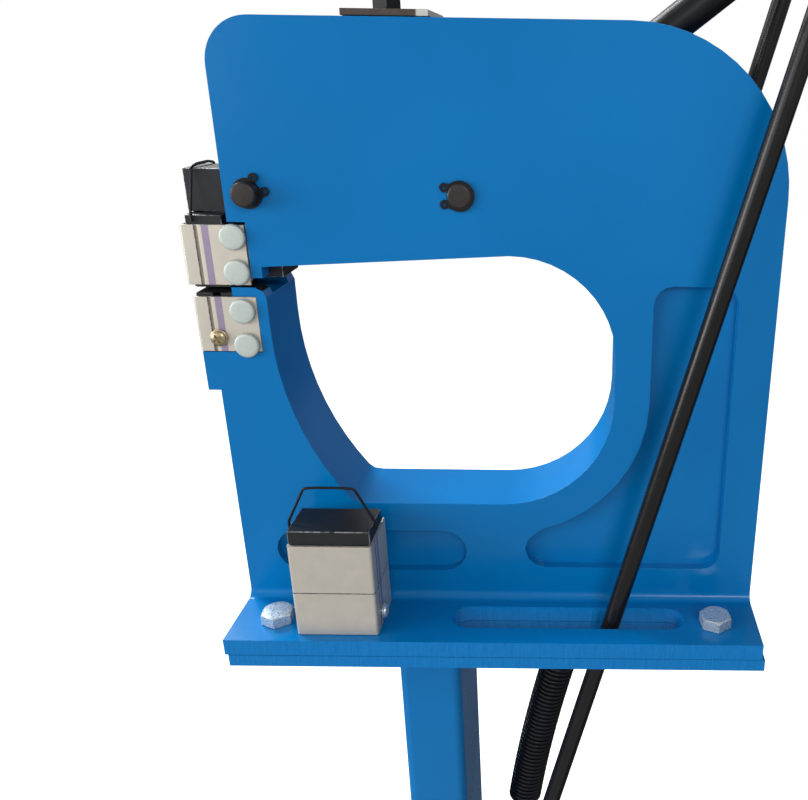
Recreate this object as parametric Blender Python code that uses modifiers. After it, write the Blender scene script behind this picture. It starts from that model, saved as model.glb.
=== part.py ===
"""Foot-operated deep-throat metal shrinker on its stand.

A cast C-frame carries a fixed lower jaw on its post and a sliding upper jaw in its nose. Pressing the
treadle pulls two long rods down, the rods turn the main lever about the rear pin, its short front arm
lifts the inner lever, and the inner lever's nose drives the jaw slide down.

Axes: +Z up, floor at Z = 0, operator at -X, the pivots run along Y, and Y = 0 is the middle plane.
The origin is the middle of the base plate's underside.
"""

import math

import bmesh
import bpy
from mathutils import Matrix, Vector

MM = 0.001
FLAT = math.radians(0.2)     # faces that meet at less than this are one flat face

# ---------------------------------------------------------------- fits
TOUCH = 0.3 * MM            # gap left between two pieces that rest on or seat in each other
RUNNING = 0.3 * MM          # radial clearance of a pin in its hole
SIDE_PLAY = 1.0 * MM        # side clearance of a lever in its slot

# ---------------------------------------------------------------- casting
FLANGE_TOP = 850.0 * MM     # height of the casting's flange above the floor
CASTING_THICK = 45.0 * MM
CASTING_HEIGHT = 311.7 * MM
POST_FRONT_X = -105.4 * MM
PAD_FRONT_X = -112.0 * MM
ARM_SETBACK = 3.0 * MM      # the arm's front behind the tongues that the clamp bolts pass through
BACK_WEB = 83.0 * MM        # from the throat's rear wall to the casting's back
THROAT_REAR_X = 105.0 * MM
THROAT_FLOOR_RISE = 61.3 * MM
THROAT_TOP_RISE = 202.2 * MM
ARM_SLOPE = 0.0574          # rise of the arm's underside towards the back
NOSE_RISE = 189.3 * MM      # underside of the nose guide
NOSE_WIDTH = 5.4 * MM
POST_TOP_RISE = 184.0 * MM
POST_INNER_X = -75.0 * MM
POST_ARC_R = 160.0 * MM
PAD_STEP_RISE = 128.3 * MM
THROAT_TOP_R = 55.0 * MM
THROAT_FLOOR_R = 62.0 * MM
BACK_TOP_R = 80.0 * MM
ARM_TOP_R = 22.0 * MM
POCKET_DEPTH = 6.0 * MM
POCKET_WEB = 19.0 * MM      # rib left between the throat and the rear pocket
POCKET_EDGE = 20.0 * MM     # rib left between the rear pocket and the casting's back

# ---------------------------------------------------------------- flange and stand plate
FLANGE_OVERHANG = 43.4 * MM
FLANGE_THICK = 9.5 * MM
FLANGE_FILLET = 5.0 * MM
STAND_PLATE_THICK = 7.0 * MM
SLOT_FRONT_X = 15.5 * MM
SLOT_BACK_INSET = 41.0 * MM   # from the slot's end to the flange's back edge
SLOT_WIDTH = 20.0 * MM
SLOT_INWARD = 2.5 * MM      # the slots' centre lines lie this far inside the rods
FLANGE_BOLT_INSET = 24.0 * MM
FLANGE_BOLT_Y = 47.0 * MM
FLANGE_BOLT_D = 10.0 * MM
FLANGE_BOLT_FLATS = 17.0 * MM
FLANGE_BOLT_HEAD = 6.4 * MM
FLANGE_NUT_HEIGHT = 8.0 * MM

# ---------------------------------------------------------------- column and base
COLUMN_X = -0.8 * MM
COLUMN_LENGTH_X = 36.0 * MM
COLUMN_LENGTH_Y = 75.0 * MM
COLUMN_WALL = 3.0 * MM
BASE_LENGTH = 520.0 * MM
BASE_WIDTH = 400.0 * MM
BASE_THICK = 10.0 * MM
ANCHOR_D = 13.0 * MM
ANCHOR_INSET = 35.0 * MM

# ---------------------------------------------------------------- pivots and levers
PIN_D = 12.0 * MM
FRONT_PIN_BACK = 12.4 * MM  # behind the arm's front
PIN_RISE = 231.7 * MM       # pins above the flange
PIN_SPACING = 103.7 * MM
FRONT_PIN_PROUD = 8.0 * MM
REAR_PIN_PROUD = 2.6 * MM
CIRCLIP_THICK = 1.2 * MM
LEVER_THICK = 18.0 * MM
LEVER_REACH = 219.0 * MM    # rear pin to the rods' top pin
LEVER_ANGLE = math.radians(37.4)
LEVER_BAR_D = 17.0 * MM
LEVER_SPIGOT_D = 10.0 * MM
MEETING_X = -15.0 * MM      # where the main lever lifts the inner lever
STOP_X = -8.5 * MM
NOSE_REACH = 18.4 * MM      # front pin to the nose's contact with the slide
STOP_SCREW_D = 8.0 * MM
STOP_HEX_FLATS = 13.0 * MM
STOP_PLATE_THICK = 3.0 * MM
STOP_PLATE_LENGTH = 40.5 * MM
STOP_PLATE_FRONT = 17.0 * MM      # the plate's front end ahead of the screw

# ---------------------------------------------------------------- rods and pedal
ROD_D = 10.0 * MM
ROD_COLUMN_GAP = 2.5 * MM   # each rod passes this far beside the column
ROD_EYE_D = 16.0 * MM
ROD_PIN_D = 8.0 * MM
ROD_FOOT_X = -85.3 * MM
ROD_FOOT_Z = 108.0 * MM
CROSS_BAR_BACK = 27.5 * MM  # behind the column's rear face
CROSS_BAR_D = 8.0 * MM
PEDAL_PIVOT_Z = 95.0 * MM
PEDAL_PIN_D = 12.0 * MM
PEDAL_REACH = 217.0 * MM    # pedal pivot to the middle of the treadle
PEDAL_RISE = math.radians(8.75)
PEDAL_ARM_THICK = 6.0 * MM
PEDAL_ARM_DEPTH = 25.0 * MM
PEDAL_SLOT_PLAY = 2.2 * MM  # free travel of the rods' foot pin along the pedal arm
TREADLE_LENGTH = 70.0 * MM
TREADLE_OVERHANG = 2.0 * MM # the treadle reaches this far past the arms
TREADLE_THICK = 5.0 * MM

# ---------------------------------------------------------------- return spring
SPRING_OD = 22.0 * MM
SPRING_WIRE = 2.5 * MM
SPRING_PITCH = 3.05 * MM
SPRING_TOP_X = 86.0 * MM
SPRING_COIL_SHARE = 0.66     # of the way from the upper eye to the cross bar
SPRING_BOW = 6.2 * MM
HOOK_CLEARANCE = 1.0 * MM    # the hook hangs loosely round its bar

# ---------------------------------------------------------------- jaws
JAW_FRONT_X = -114.6 * MM
LOWER_JAW_SETBACK = 1.5 * MM
COVER_DEPTH = 32.6 * MM
COVER_WALL = 1.2 * MM
COVER_INSET = 0.25 * MM     # the covers lie this far inside the casting's faces
UPPER_COVER_BOTTOM = 185.5 * MM   # above the flange, like the lower one
UPPER_COVER_HEIGHT = 30.5 * MM
LOWER_COVER_BOTTOM = 150.0 * MM
LOWER_COVER_HEIGHT = 29.3 * MM
CLAMP_BOLT_BACK = 5.8 * MM        # clamp bolts ahead of the upper cover's rear edge
HOLDER_AHEAD = 5.2 * MM           # front of the tongues that they pass through, ahead of them
CLAMP_BOLT_D = 5.0 * MM
CLAMP_HEAD_D = 13.0 * MM
CLAMP_HEAD_THICK = 2.4 * MM
CLAMP_BOLT_INSET = 5.8 * MM       # bolts from the cover's edges
DIE_HEIGHT = 13.0 * MM
UPPER_DIE_PROUD = 1.7 * MM        # the dies stand this far out of the covers
LOWER_DIE_PROUD = 2.0 * MM
DIE_SPACE = 2.4 * MM              # between the two dies of one jaw at rest
SLIDE_WALL = 2.2 * MM             # beside the notch that takes the inner lever's nose
SLIDE_TOP_RISE = 242.2 * MM
SLIDE_SHOULDER_RISE = 222.5 * MM
BLOCK_PROUD = 4.6 * MM            # the upper die block above its cover
PAN_SCREW_D = 4.0 * MM
PAN_HEAD_D = 8.2 * MM
PAN_HEAD_THICK = 2.8 * MM
PAN_SCREW_AHEAD = 14.3 * MM       # ahead of the clamp bolts
PAN_SCREW_UP = 7.4 * MM           # from the cover's bottom edge
BAIL_WIRE = 1.8 * MM

# ---------------------------------------------------------------- spare jaw set, standing on the flange
SPARE_BOLT_GAP = 14.75 * MM        # from the flange bolts' centres to its side
SPARE_GAP = 5.4 * MM              # behind it, to the casting's face
SPARE_LOWER_HEIGHT = 26.2 * MM
SPARE_UPPER_HEIGHT = 28.7 * MM
SPARE_BLOCK_DEPTH = 26.0 * MM
SPARE_BLOCK_PROUD = 8.0 * MM

# ---------------------------------------------------------------- places that follow from the sizes above
HALF = CASTING_THICK / 2
CASTING_TOP = FLANGE_TOP + CASTING_HEIGHT
BACK_X = THROAT_REAR_X + BACK_WEB
THROAT_FLOOR = FLANGE_TOP + THROAT_FLOOR_RISE
THROAT_TOP = FLANGE_TOP + THROAT_TOP_RISE
POST_TOP = FLANGE_TOP + POST_TOP_RISE
NOSE_BOTTOM = FLANGE_TOP + NOSE_RISE
FLANGE_BOTTOM = FLANGE_TOP - FLANGE_THICK
PLATE_TOP = FLANGE_BOTTOM - TOUCH
PLATE_BOTTOM = PLATE_TOP - STAND_PLATE_THICK
FLANGE_HALF_Y = HALF + FLANGE_OVERHANG
CLAMP_BOLT_X = JAW_FRONT_X + COVER_DEPTH - CLAMP_BOLT_BACK
HOLDER_FRONT_X = CLAMP_BOLT_X - HOLDER_AHEAD
ARM_FRONT_X = HOLDER_FRONT_X + ARM_SETBACK
FRONT_PIN_X = ARM_FRONT_X + FRONT_PIN_BACK
PIN_Z = FLANGE_TOP + PIN_RISE
FRONT_PIN = Vector((FRONT_PIN_X, 0.0, PIN_Z))
REAR_PIN = Vector((FRONT_PIN_X + PIN_SPACING, 0.0, PIN_Z))
LEVER_DIRECTION = Vector((math.cos(LEVER_ANGLE), 0.0, math.sin(LEVER_ANGLE)))
ROD_TOP = REAR_PIN + LEVER_REACH * LEVER_DIRECTION
ROD_FOOT = Vector((ROD_FOOT_X, 0.0, ROD_FOOT_Z))
ROD_SPAN = ROD_TOP - ROD_FOOT
CROSS_BAR_X = COLUMN_X + COLUMN_LENGTH_X / 2 + CROSS_BAR_BACK
CROSS_BAR = ROD_FOOT + ROD_SPAN * ((CROSS_BAR_X - ROD_FOOT_X) / ROD_SPAN.x)
PEDAL_PIVOT = Vector((COLUMN_X, 0.0, PEDAL_PIVOT_Z))
PEDAL_DIRECTION = Vector((-math.cos(PEDAL_RISE), 0.0, math.sin(PEDAL_RISE)))
ROD_OFFSET = COLUMN_LENGTH_Y / 2 + ROD_COLUMN_GAP + ROD_D / 2
PEDAL_ARM_Y = ROD_OFFSET + ROD_D / 2 + 2 * MM
HEAD_HALF = HALF - COVER_INSET - COVER_WALL - TOUCH
SLIDE_HALF = LEVER_THICK / 2 + SIDE_PLAY + SLIDE_WALL
SLIDE_SHOULDER = FLANGE_TOP + SLIDE_SHOULDER_RISE
UPPER_COVER_Z = FLANGE_TOP + UPPER_COVER_BOTTOM
LOWER_COVER_Z = FLANGE_TOP + LOWER_COVER_BOTTOM
UPPER_DIE_Z = UPPER_COVER_Z - UPPER_DIE_PROUD
LOWER_DIE_TOP = LOWER_COVER_Z + LOWER_COVER_HEIGHT + LOWER_DIE_PROUD
LOWER_FRONT_X = JAW_FRONT_X + LOWER_JAW_SETBACK
CHEEK_FRONT_X = JAW_FRONT_X + COVER_DEPTH + 0.9 * MM
BLOCK_FRONT_X = LOWER_FRONT_X + COVER_WALL + TOUCH
BLOCK_REAR_X = HOLDER_FRONT_X - TOUCH
GUIDE_REAR_X = FRONT_PIN_X + 9.0 * MM
SPARE_FRONT_Y = -(HALF + SPARE_GAP + COVER_DEPTH)
SPARE_X = POST_FRONT_X + FLANGE_BOLT_INSET + SPARE_BOLT_GAP + HALF - COVER_INSET


# ================================================================ modelling helpers
def clear_scene():
    for item in list(bpy.data.objects):
        bpy.data.objects.remove(item, do_unlink=True)


clear_scene()
PARTS = bpy.data.collections.new("deep_throat_shrinker")
CUTTERS = bpy.data.collections.new("cutters")
bpy.context.scene.collection.children.link(PARTS)
bpy.context.scene.collection.children.link(CUTTERS)


def material(name, color, roughness, metallic):
    made = bpy.data.materials.new(name)
    made.use_nodes = True
    shader = made.node_tree.nodes["Principled BSDF"]
    shader.inputs["Base Color"].default_value = (*color, 1.0)
    shader.inputs["Roughness"].default_value = roughness
    shader.inputs["Metallic"].default_value = metallic
    return made


BLUE = material("blue_enamel", (0.01, 0.14, 0.45), 0.3, 0.0)
STAINLESS = material("stainless_sheet", (0.66, 0.62, 0.57), 0.35, 1.0)
ZINC = material("zinc_plate", (0.7, 0.74, 0.75), 0.4, 1.0)
BLACK_OXIDE = material("black_oxide", (0.03, 0.03, 0.035), 0.45, 0.6)
BLACK_PAINT = material("black_paint", (0.02, 0.02, 0.022), 0.35, 0.0)
DIE_STEEL = material("die_steel", (0.05, 0.05, 0.055), 0.4, 0.8)
STOP_STEEL = material("stop_steel", (0.09, 0.08, 0.075), 0.5, 0.7)


def link(item, collection):
    for owner in list(item.users_collection):
        owner.objects.unlink(item)
    collection.objects.link(item)
    return item


def from_bmesh(name, shape, finish):
    mesh = bpy.data.meshes.new(name)
    shape.to_mesh(mesh)
    shape.free()
    item = bpy.data.objects.new(name, mesh)
    PARTS.objects.link(item)
    if finish:
        mesh.materials.append(finish)
    return item


def block(name, low, high, finish=None):
    """A box between two corners."""
    size = Vector(high) - Vector(low)
    centre = (Vector(high) + Vector(low)) / 2
    shape = bmesh.new()
    bmesh.ops.create_cube(shape, size=1.0)
    bmesh.ops.scale(shape, vec=size, verts=shape.verts)
    bmesh.ops.translate(shape, vec=centre, verts=shape.verts)
    return from_bmesh(name, shape, finish)


def rod_between(name, start, end, radius, finish=None, sides=24):
    """A round bar between two points."""
    span = Vector(end) - Vector(start)
    turn = span.to_track_quat("Z", "Y").to_matrix().to_4x4()
    shape = bmesh.new()
    bmesh.ops.create_cone(
        shape,
        cap_ends=True,
        segments=sides,
        radius1=radius,
        radius2=radius,
        depth=span.length,
        matrix=Matrix.Translation((Vector(start) + Vector(end)) / 2) @ turn,
    )
    return from_bmesh(name, shape, finish)


def cross_pin(name, centre, half_length, radius, finish=None, sides=24):
    """A round bar along Y through a point of the middle plane."""
    reach = Vector((0.0, half_length, 0.0))
    return rod_between(name, Vector(centre) - reach, Vector(centre) + reach, radius, finish, sides)


def rounded(corners, steps=6):
    """Corner points (x, y, radius) as one closed outline whose corners are arcs."""
    points = []
    count = len(corners)
    for index, (x, y, radius) in enumerate(corners):
        here = Vector((x, y))
        before = (Vector(corners[index - 1][:2]) - here).normalized()
        after = (Vector(corners[(index + 1) % count][:2]) - here).normalized()
        if radius <= 0:
            points.append(here)
            continue
        half_angle = before.angle(after) / 2
        centre = here + (before + after).normalized() * (radius / math.sin(half_angle))
        start = here + before * (radius / math.tan(half_angle)) - centre
        end = here + after * (radius / math.tan(half_angle)) - centre
        sweep = start.angle_signed(end)
        for step in range(steps + 1):
            turn = Matrix.Rotation(-sweep * step / steps, 2)
            points.append(centre + turn @ start)
    return points


def slot_outline(start, end, radius, steps=8):
    """A round-ended slot between two centres, as outline points."""
    start = Vector(start)
    end = Vector(end)
    heading = math.atan2(end.y - start.y, end.x - start.x)
    points = []
    for centre, first in ((end, heading - math.pi / 2), (start, heading + math.pi / 2)):
        for step in range(steps + 1):
            angle = first + math.pi * step / steps
            points.append(centre + radius * Vector((math.cos(angle), math.sin(angle))))
    return points


def mesh_from_curve(curve_object):
    """Swap a curve for the closed mesh that it evaluates to."""
    bpy.context.view_layer.update()
    evaluated = curve_object.evaluated_get(bpy.context.evaluated_depsgraph_get())
    mesh = bpy.data.meshes.new_from_object(evaluated)
    mesh.transform(curve_object.matrix_world)
    shape = bmesh.new()
    shape.from_mesh(mesh)
    bmesh.ops.remove_doubles(shape, verts=shape.verts, dist=0.005 * MM)
    bmesh.ops.dissolve_limit(shape, angle_limit=FLAT, verts=shape.verts, edges=shape.edges)
    bmesh.ops.recalc_face_normals(shape, faces=shape.faces)
    shape.to_mesh(mesh)
    shape.free()
    name = curve_object.name
    bpy.data.objects.remove(curve_object)
    item = bpy.data.objects.new(name, mesh)
    mesh.name = name
    PARTS.objects.link(item)
    return item


def plate(name, outline, thickness, placing, finish=None):
    """A flat outline extruded to a thickness, about the plane that a matrix places."""
    curve = bpy.data.curves.new(name, "CURVE")
    curve.dimensions = "2D"
    curve.fill_mode = "BOTH"
    curve.extrude = thickness / 2
    spline = curve.splines.new("POLY")
    spline.points.add(len(outline) - 1)
    for point, place in zip(spline.points, outline):
        point.co = (place[0], place[1], 0.0, 1.0)
    spline.use_cyclic_u = True
    item = bpy.data.objects.new(name, curve)
    item.matrix_world = placing
    PARTS.objects.link(item)
    item = mesh_from_curve(item)
    if finish:
        item.data.materials.append(finish)
    return item


def side_plane(y=0.0):
    """Outline x and y become X and Z, and the thickness runs along Y about this Y."""
    return Matrix.Translation((0.0, y, 0.0)) @ Matrix.Rotation(math.radians(90), 4, "X")


def floor_plane(z):
    """Outline x and y stay X and Y, and the thickness runs along Z about this Z."""
    return Matrix.Translation((0.0, 0.0, z))


def wire(name, points, radius, finish, sides_setting=2):
    """A round wire through points, with closed ends."""
    curve = bpy.data.curves.new(name, "CURVE")
    curve.dimensions = "3D"
    curve.bevel_depth = radius
    curve.bevel_resolution = sides_setting
    curve.use_fill_caps = True
    spline = curve.splines.new("POLY")
    spline.points.add(len(points) - 1)
    for point, place in zip(spline.points, points):
        point.co = (*place, 1.0)
    item = bpy.data.objects.new(name, curve)
    PARTS.objects.link(item)
    item = mesh_from_curve(item)
    item.data.materials.append(finish)
    return item


def boolean(item, tools, operation):
    """Cut or join whole shapes, one after the other, with the exact solver."""
    for tool in tools:
        link(tool, CUTTERS)
        tool.hide_render = True
        tool.display_type = "WIRE"
        step = item.modifiers.new(operation.lower() + "_" + tool.name, "BOOLEAN")
        step.operation = operation
        step.solver = "EXACT"
        step.object = tool
    return item


def cut(item, *tools):
    return boolean(item, tools, "DIFFERENCE")


def join(item, *tools):
    return boolean(item, tools, "UNION")


def move_with(name, pivot, *items):
    """Hang the pieces of one moving body on an empty that stands on the joint's axis."""
    empty = bpy.data.objects.new(name + "_axis", None)
    empty.empty_display_size = 20 * MM
    empty.location = pivot
    PARTS.objects.link(empty)
    for item in items:
        item.parent = empty
        item.matrix_parent_inverse = Matrix.Translation(-Vector(pivot))


def smooth(*items):
    for item in items:
        item.data.shade_smooth()
        item.data.set_sharp_from_angle(angle=math.radians(35))


def turned(name, profile, placing, finish, steps=24):
    """A turned piece: (radius, height) points from top to bottom, spun about the placing's Z."""
    shape = bmesh.new()
    ring = [shape.verts.new((radius, 0.0, height)) for radius, height in profile]
    for first, second in zip(ring, ring[1:]):
        shape.edges.new((first, second))
    item = from_bmesh(name, shape, finish)
    item.matrix_world = placing
    spin = item.modifiers.new("spin", "SCREW")
    spin.axis = "Z"
    spin.steps = steps
    spin.render_steps = steps
    spin.use_merge_vertices = True
    spin.merge_threshold = 0.01 * MM
    return item


def toward_viewer(centre):
    """A placing whose Z points along -Y, for turned pieces that lie across the machine."""
    return Matrix.Translation(centre) @ Matrix.Rotation(math.radians(90), 4, "X")


# ================================================================ casting
def arc(centre, radius, start, end, steps):
    """Points of an arc, with its angles in degrees."""
    points = []
    for step in range(steps + 1):
        angle = math.radians(start + (end - start) * step / steps)
        points.append(Vector(centre) + radius * Vector((math.cos(angle), math.sin(angle))))
    return points


def underside(x):
    """Height of the arm's sloping underside."""
    return THROAT_TOP + ARM_SLOPE * (x - (THROAT_REAR_X - THROAT_TOP_R))


def casting_outline():
    post_centre = Vector((POST_INNER_X + POST_ARC_R, FLANGE_TOP + 162.0 * MM))
    reach = post_centre.y - THROAT_FLOOR - 3 * MM
    low_angle = 180 + math.degrees(math.asin(reach / POST_ARC_R))
    seat = LOWER_COVER_Z - TOUCH
    points = rounded([
        (BACK_X, FLANGE_TOP - FLANGE_THICK / 2, 0),
        (BACK_X, CASTING_TOP, BACK_TOP_R),
        (ARM_FRONT_X, CASTING_TOP, ARM_TOP_R),
        (ARM_FRONT_X, SLIDE_SHOULDER - 5 * MM, 0),
    ], steps=14)
    points += [
        Vector((CHEEK_FRONT_X, SLIDE_SHOULDER - 5 * MM)),
        Vector((CHEEK_FRONT_X, NOSE_BOTTOM)),
        Vector((CHEEK_FRONT_X + NOSE_WIDTH, NOSE_BOTTOM)),
        Vector((CHEEK_FRONT_X + NOSE_WIDTH, underside(CHEEK_FRONT_X + NOSE_WIDTH))),
    ]
    top_centre = (THROAT_REAR_X - THROAT_TOP_R, THROAT_TOP - THROAT_TOP_R)
    floor_centre = (THROAT_REAR_X - THROAT_FLOOR_R, THROAT_FLOOR + THROAT_FLOOR_R)
    points += arc(top_centre, THROAT_TOP_R, 90, 0, 12)
    points += arc(floor_centre, THROAT_FLOOR_R, 0, -90, 12)
    foot = post_centre.x - POST_ARC_R * math.cos(math.radians(low_angle - 180))
    points += [Vector((foot + 8 * MM, THROAT_FLOOR)), Vector((foot + 3 * MM, THROAT_FLOOR + 0.8 * MM))]
    points += arc(post_centre, POST_ARC_R, low_angle, 180, 9)
    points += [
        Vector((POST_INNER_X, POST_TOP - 5 * MM)),
        Vector((POST_INNER_X - 1.5 * MM, POST_TOP - 1.5 * MM)),
        Vector((POST_INNER_X - 5 * MM, POST_TOP)),
        Vector((HOLDER_FRONT_X, POST_TOP)),
        Vector((HOLDER_FRONT_X, seat)),
        Vector((PAD_FRONT_X, seat)),
        Vector((PAD_FRONT_X, FLANGE_TOP + PAD_STEP_RISE)),
        Vector((POST_FRONT_X, FLANGE_TOP + PAD_STEP_RISE)),
        Vector((POST_FRONT_X, FLANGE_TOP - FLANGE_THICK / 2)),
    ]
    return points


def flange_body():
    """The T-shaped foot: the flange with a fillet running up each face of the casting."""
    inner = HALF - 2 * MM
    half_section = [
        (FLANGE_HALF_Y, FLANGE_BOTTOM),
        (FLANGE_HALF_Y, FLANGE_TOP),
        (HALF + FLANGE_FILLET, FLANGE_TOP),
    ]
    half_section += [
        (HALF + FLANGE_FILLET * (1 - math.sin(a)), FLANGE_TOP + FLANGE_FILLET * (1 - math.cos(a)))
        for a in (math.radians(22.5 * step) for step in range(1, 5))
    ]
    half_section.append((inner, FLANGE_TOP + FLANGE_FILLET))
    section = half_section + [(-y, z) for y, z in reversed(half_section)]
    length = BACK_X - POST_FRONT_X
    placing = Matrix.Translation(((BACK_X + POST_FRONT_X) / 2, 0.0, 0.0))
    across = Matrix(((0, 0, 1, 0), (1, 0, 0, 0), (0, 1, 0, 0), (0, 0, 0, 1)))
    return plate("flange_body", section, length, placing @ across)


def rod_slots(name, z, thickness):
    """The two long slots that the rods pass through."""
    radius = SLOT_WIDTH / 2
    slots = []
    for side in (-1, 1):
        y = side * (ROD_OFFSET - SLOT_INWARD)
        ends = (SLOT_FRONT_X + radius, y), (BACK_X - SLOT_BACK_INSET - radius, y)
        slots.append(plate(f"{name}_{side}", slot_outline(*ends, radius), thickness, floor_plane(z)))
    return slots


def flange_bolt_places():
    for x in (POST_FRONT_X + FLANGE_BOLT_INSET, BACK_X - FLANGE_BOLT_INSET):
        for y in (-FLANGE_BOLT_Y, FLANGE_BOLT_Y):
            yield Vector((x, y, 0.0))


def pocket_outlines():
    """The rear pocket, which follows the throat's lower corner, and the small slot pocket."""
    corner = Vector((THROAT_REAR_X - THROAT_FLOOR_R, THROAT_FLOOR + THROAT_FLOOR_R))
    ring = THROAT_FLOOR_R + POCKET_WEB
    low = FLANGE_TOP + 20.5 * MM
    high = THROAT_TOP - 14.6 * MM
    right = BACK_X - POCKET_EDGE
    end_radius = 12 * MM
    end = Vector((THROAT_REAR_X - 37 * MM, low + end_radius))
    bend = 10 * MM
    rear = rounded([
        (corner.x, low, 0), (right, low, bend), (right, high, bend), (corner.x + ring, high, bend),
        (corner.x + ring, corner.y, 0),
    ], steps=4)[1:-1]
    rear += arc(corner, ring, 0, -74, 8)
    rear += arc(end, end_radius, 120, 270, 5)
    radius = 13.0 * MM
    centre = FLANGE_TOP + 30.7 * MM
    small = slot_outline(
        (POST_FRONT_X + 31.6 * MM, centre), (THROAT_REAR_X - 96 * MM, centre), radius
    )
    return rear, small


def lever_cavity():
    """The slot in the arm that the levers work in, open along the casting's top."""
    floor = THROAT_TOP + 8.5 * MM
    outline = [
        (ARM_FRONT_X - 10 * MM, SLIDE_SHOULDER + 0.6 * MM),
        (GUIDE_REAR_X + 0.6 * MM, SLIDE_SHOULDER + 0.6 * MM),
        (GUIDE_REAR_X + 4 * MM, floor),
        (REAR_PIN.x + 22 * MM, floor),
        (BACK_X - 12 * MM, floor + 72 * MM),
        (BACK_X + 10 * MM, CASTING_TOP + 10 * MM),
        (ARM_FRONT_X - 10 * MM, CASTING_TOP + 10 * MM),
    ]
    return plate("lever_cavity", outline, LEVER_THICK + 2 * SIDE_PLAY, side_plane())


def guide_cavity():
    """The guide in the nose that the slide's tongue runs in, open below."""
    return block(
        "guide_cavity",
        (ARM_FRONT_X - 10 * MM, -SLIDE_HALF - TOUCH, NOSE_BOTTOM - 10 * MM),
        (GUIDE_REAR_X + TOUCH, SLIDE_HALF + TOUCH, SLIDE_SHOULDER + 1.6 * MM),
    )


def lower_clamp_heights():
    return (
        LOWER_COVER_Z + CLAMP_BOLT_INSET - 2 * MM,
        LOWER_COVER_Z + LOWER_COVER_HEIGHT - CLAMP_BOLT_INSET - 1.4 * MM,
    )


def upper_clamp_heights():
    return (
        UPPER_COVER_Z + CLAMP_BOLT_INSET + 1 * MM,
        UPPER_COVER_Z + UPPER_COVER_HEIGHT - CLAMP_BOLT_INSET,
    )


def clamp_holes(name, heights):
    """Cutters for the clamp bolts' holes."""
    radius = CLAMP_BOLT_D / 2 + RUNNING
    return [
        cross_pin(f"{name}_{index}", (CLAMP_BOLT_X, 0.0, z), HALF + 5 * MM, radius, sides=16)
        for index, z in enumerate(heights)
    ]


def casting():
    body = plate("head_casting", casting_outline(), CASTING_THICK, side_plane(), BLUE)
    join(body, flange_body())
    tools = rod_slots("flange_slot", FLANGE_TOP, 3 * FLANGE_THICK)
    for index, place in enumerate(flange_bolt_places()):
        place.z = FLANGE_TOP
        reach = Vector((0, 0, 2 * FLANGE_THICK))
        radius = FLANGE_BOLT_D / 2 + RUNNING
        tools.append(rod_between(f"flange_hole_{index}", place - reach, place + reach, radius))
    for side in (-1, 1):
        y = side * (HALF + 5 * MM)
        depth = 2 * (POCKET_DEPTH + 5 * MM)
        for index, outline in enumerate(pocket_outlines()):
            tools.append(plate(f"pocket_{index}_{side}", outline, depth, side_plane(y)))
        low = (PAD_FRONT_X - 10 * MM, side * HEAD_HALF, LOWER_COVER_Z - TOUCH)
        high = (LOWER_FRONT_X + COVER_DEPTH + TOUCH, side * (HALF + 5 * MM), POST_TOP + 3 * MM)
        y_low, y_high = sorted((low[1], high[1]))
        tools.append(block(f"cover_recess_{side}", (low[0], y_low, low[2]), (high[0], y_high, high[2])))
    tools += [lever_cavity(), guide_cavity()]
    for name, pin in (("front_pin_hole", FRONT_PIN), ("rear_pin_hole", REAR_PIN)):
        tools.append(cross_pin(name, pin, HALF + 5 * MM, PIN_D / 2 + RUNNING, sides=28))
    tools += clamp_holes("post_hole", lower_clamp_heights())
    tools.append(block(
        "post_oil_slot",
        (CLAMP_BOLT_X + 2 * MM, -4 * MM, POST_TOP - 5 * MM),
        (POST_INNER_X - 3 * MM, 4 * MM, POST_TOP + 3 * MM),
    ))
    return cut(body, *tools)


# ================================================================ stand
STAND_SHIFT = 1.7 * MM       # the stand plate sits this far back from the flange


def spring_eye_place():
    return Vector((SPRING_TOP_X, 0.0, PLATE_BOTTOM - 8 * MM))


def stand_plate():
    low = (POST_FRONT_X + STAND_SHIFT, -FLANGE_HALF_Y, PLATE_BOTTOM)
    high = (BACK_X + STAND_SHIFT, FLANGE_HALF_Y, PLATE_TOP)
    item = block("stand_top_plate", low, high, BLUE)
    eye = spring_eye_place()
    lug = plate("spring_lug", [
        (eye.x - 9 * MM, PLATE_BOTTOM + 2 * MM), (eye.x - 7 * MM, eye.z - 5 * MM),
        (eye.x + 7 * MM, eye.z - 5 * MM), (eye.x + 9 * MM, PLATE_BOTTOM + 2 * MM),
    ], 4 * MM, side_plane())
    join(item, lug)
    tools = rod_slots("stand_slot", PLATE_TOP, 4 * STAND_PLATE_THICK)
    for index, place in enumerate(flange_bolt_places()):
        place.z = PLATE_TOP
        reach = Vector((0, 0, 3 * STAND_PLATE_THICK))
        radius = FLANGE_BOLT_D / 2 + RUNNING
        tools.append(rod_between(f"stand_hole_{index}", place - reach, place + reach, radius))
    tools.append(cross_pin("spring_lug_hole", eye, 10 * MM, SPRING_WIRE / 2 + 0.6 * MM, sides=16))
    return cut(item, *tools)


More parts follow.
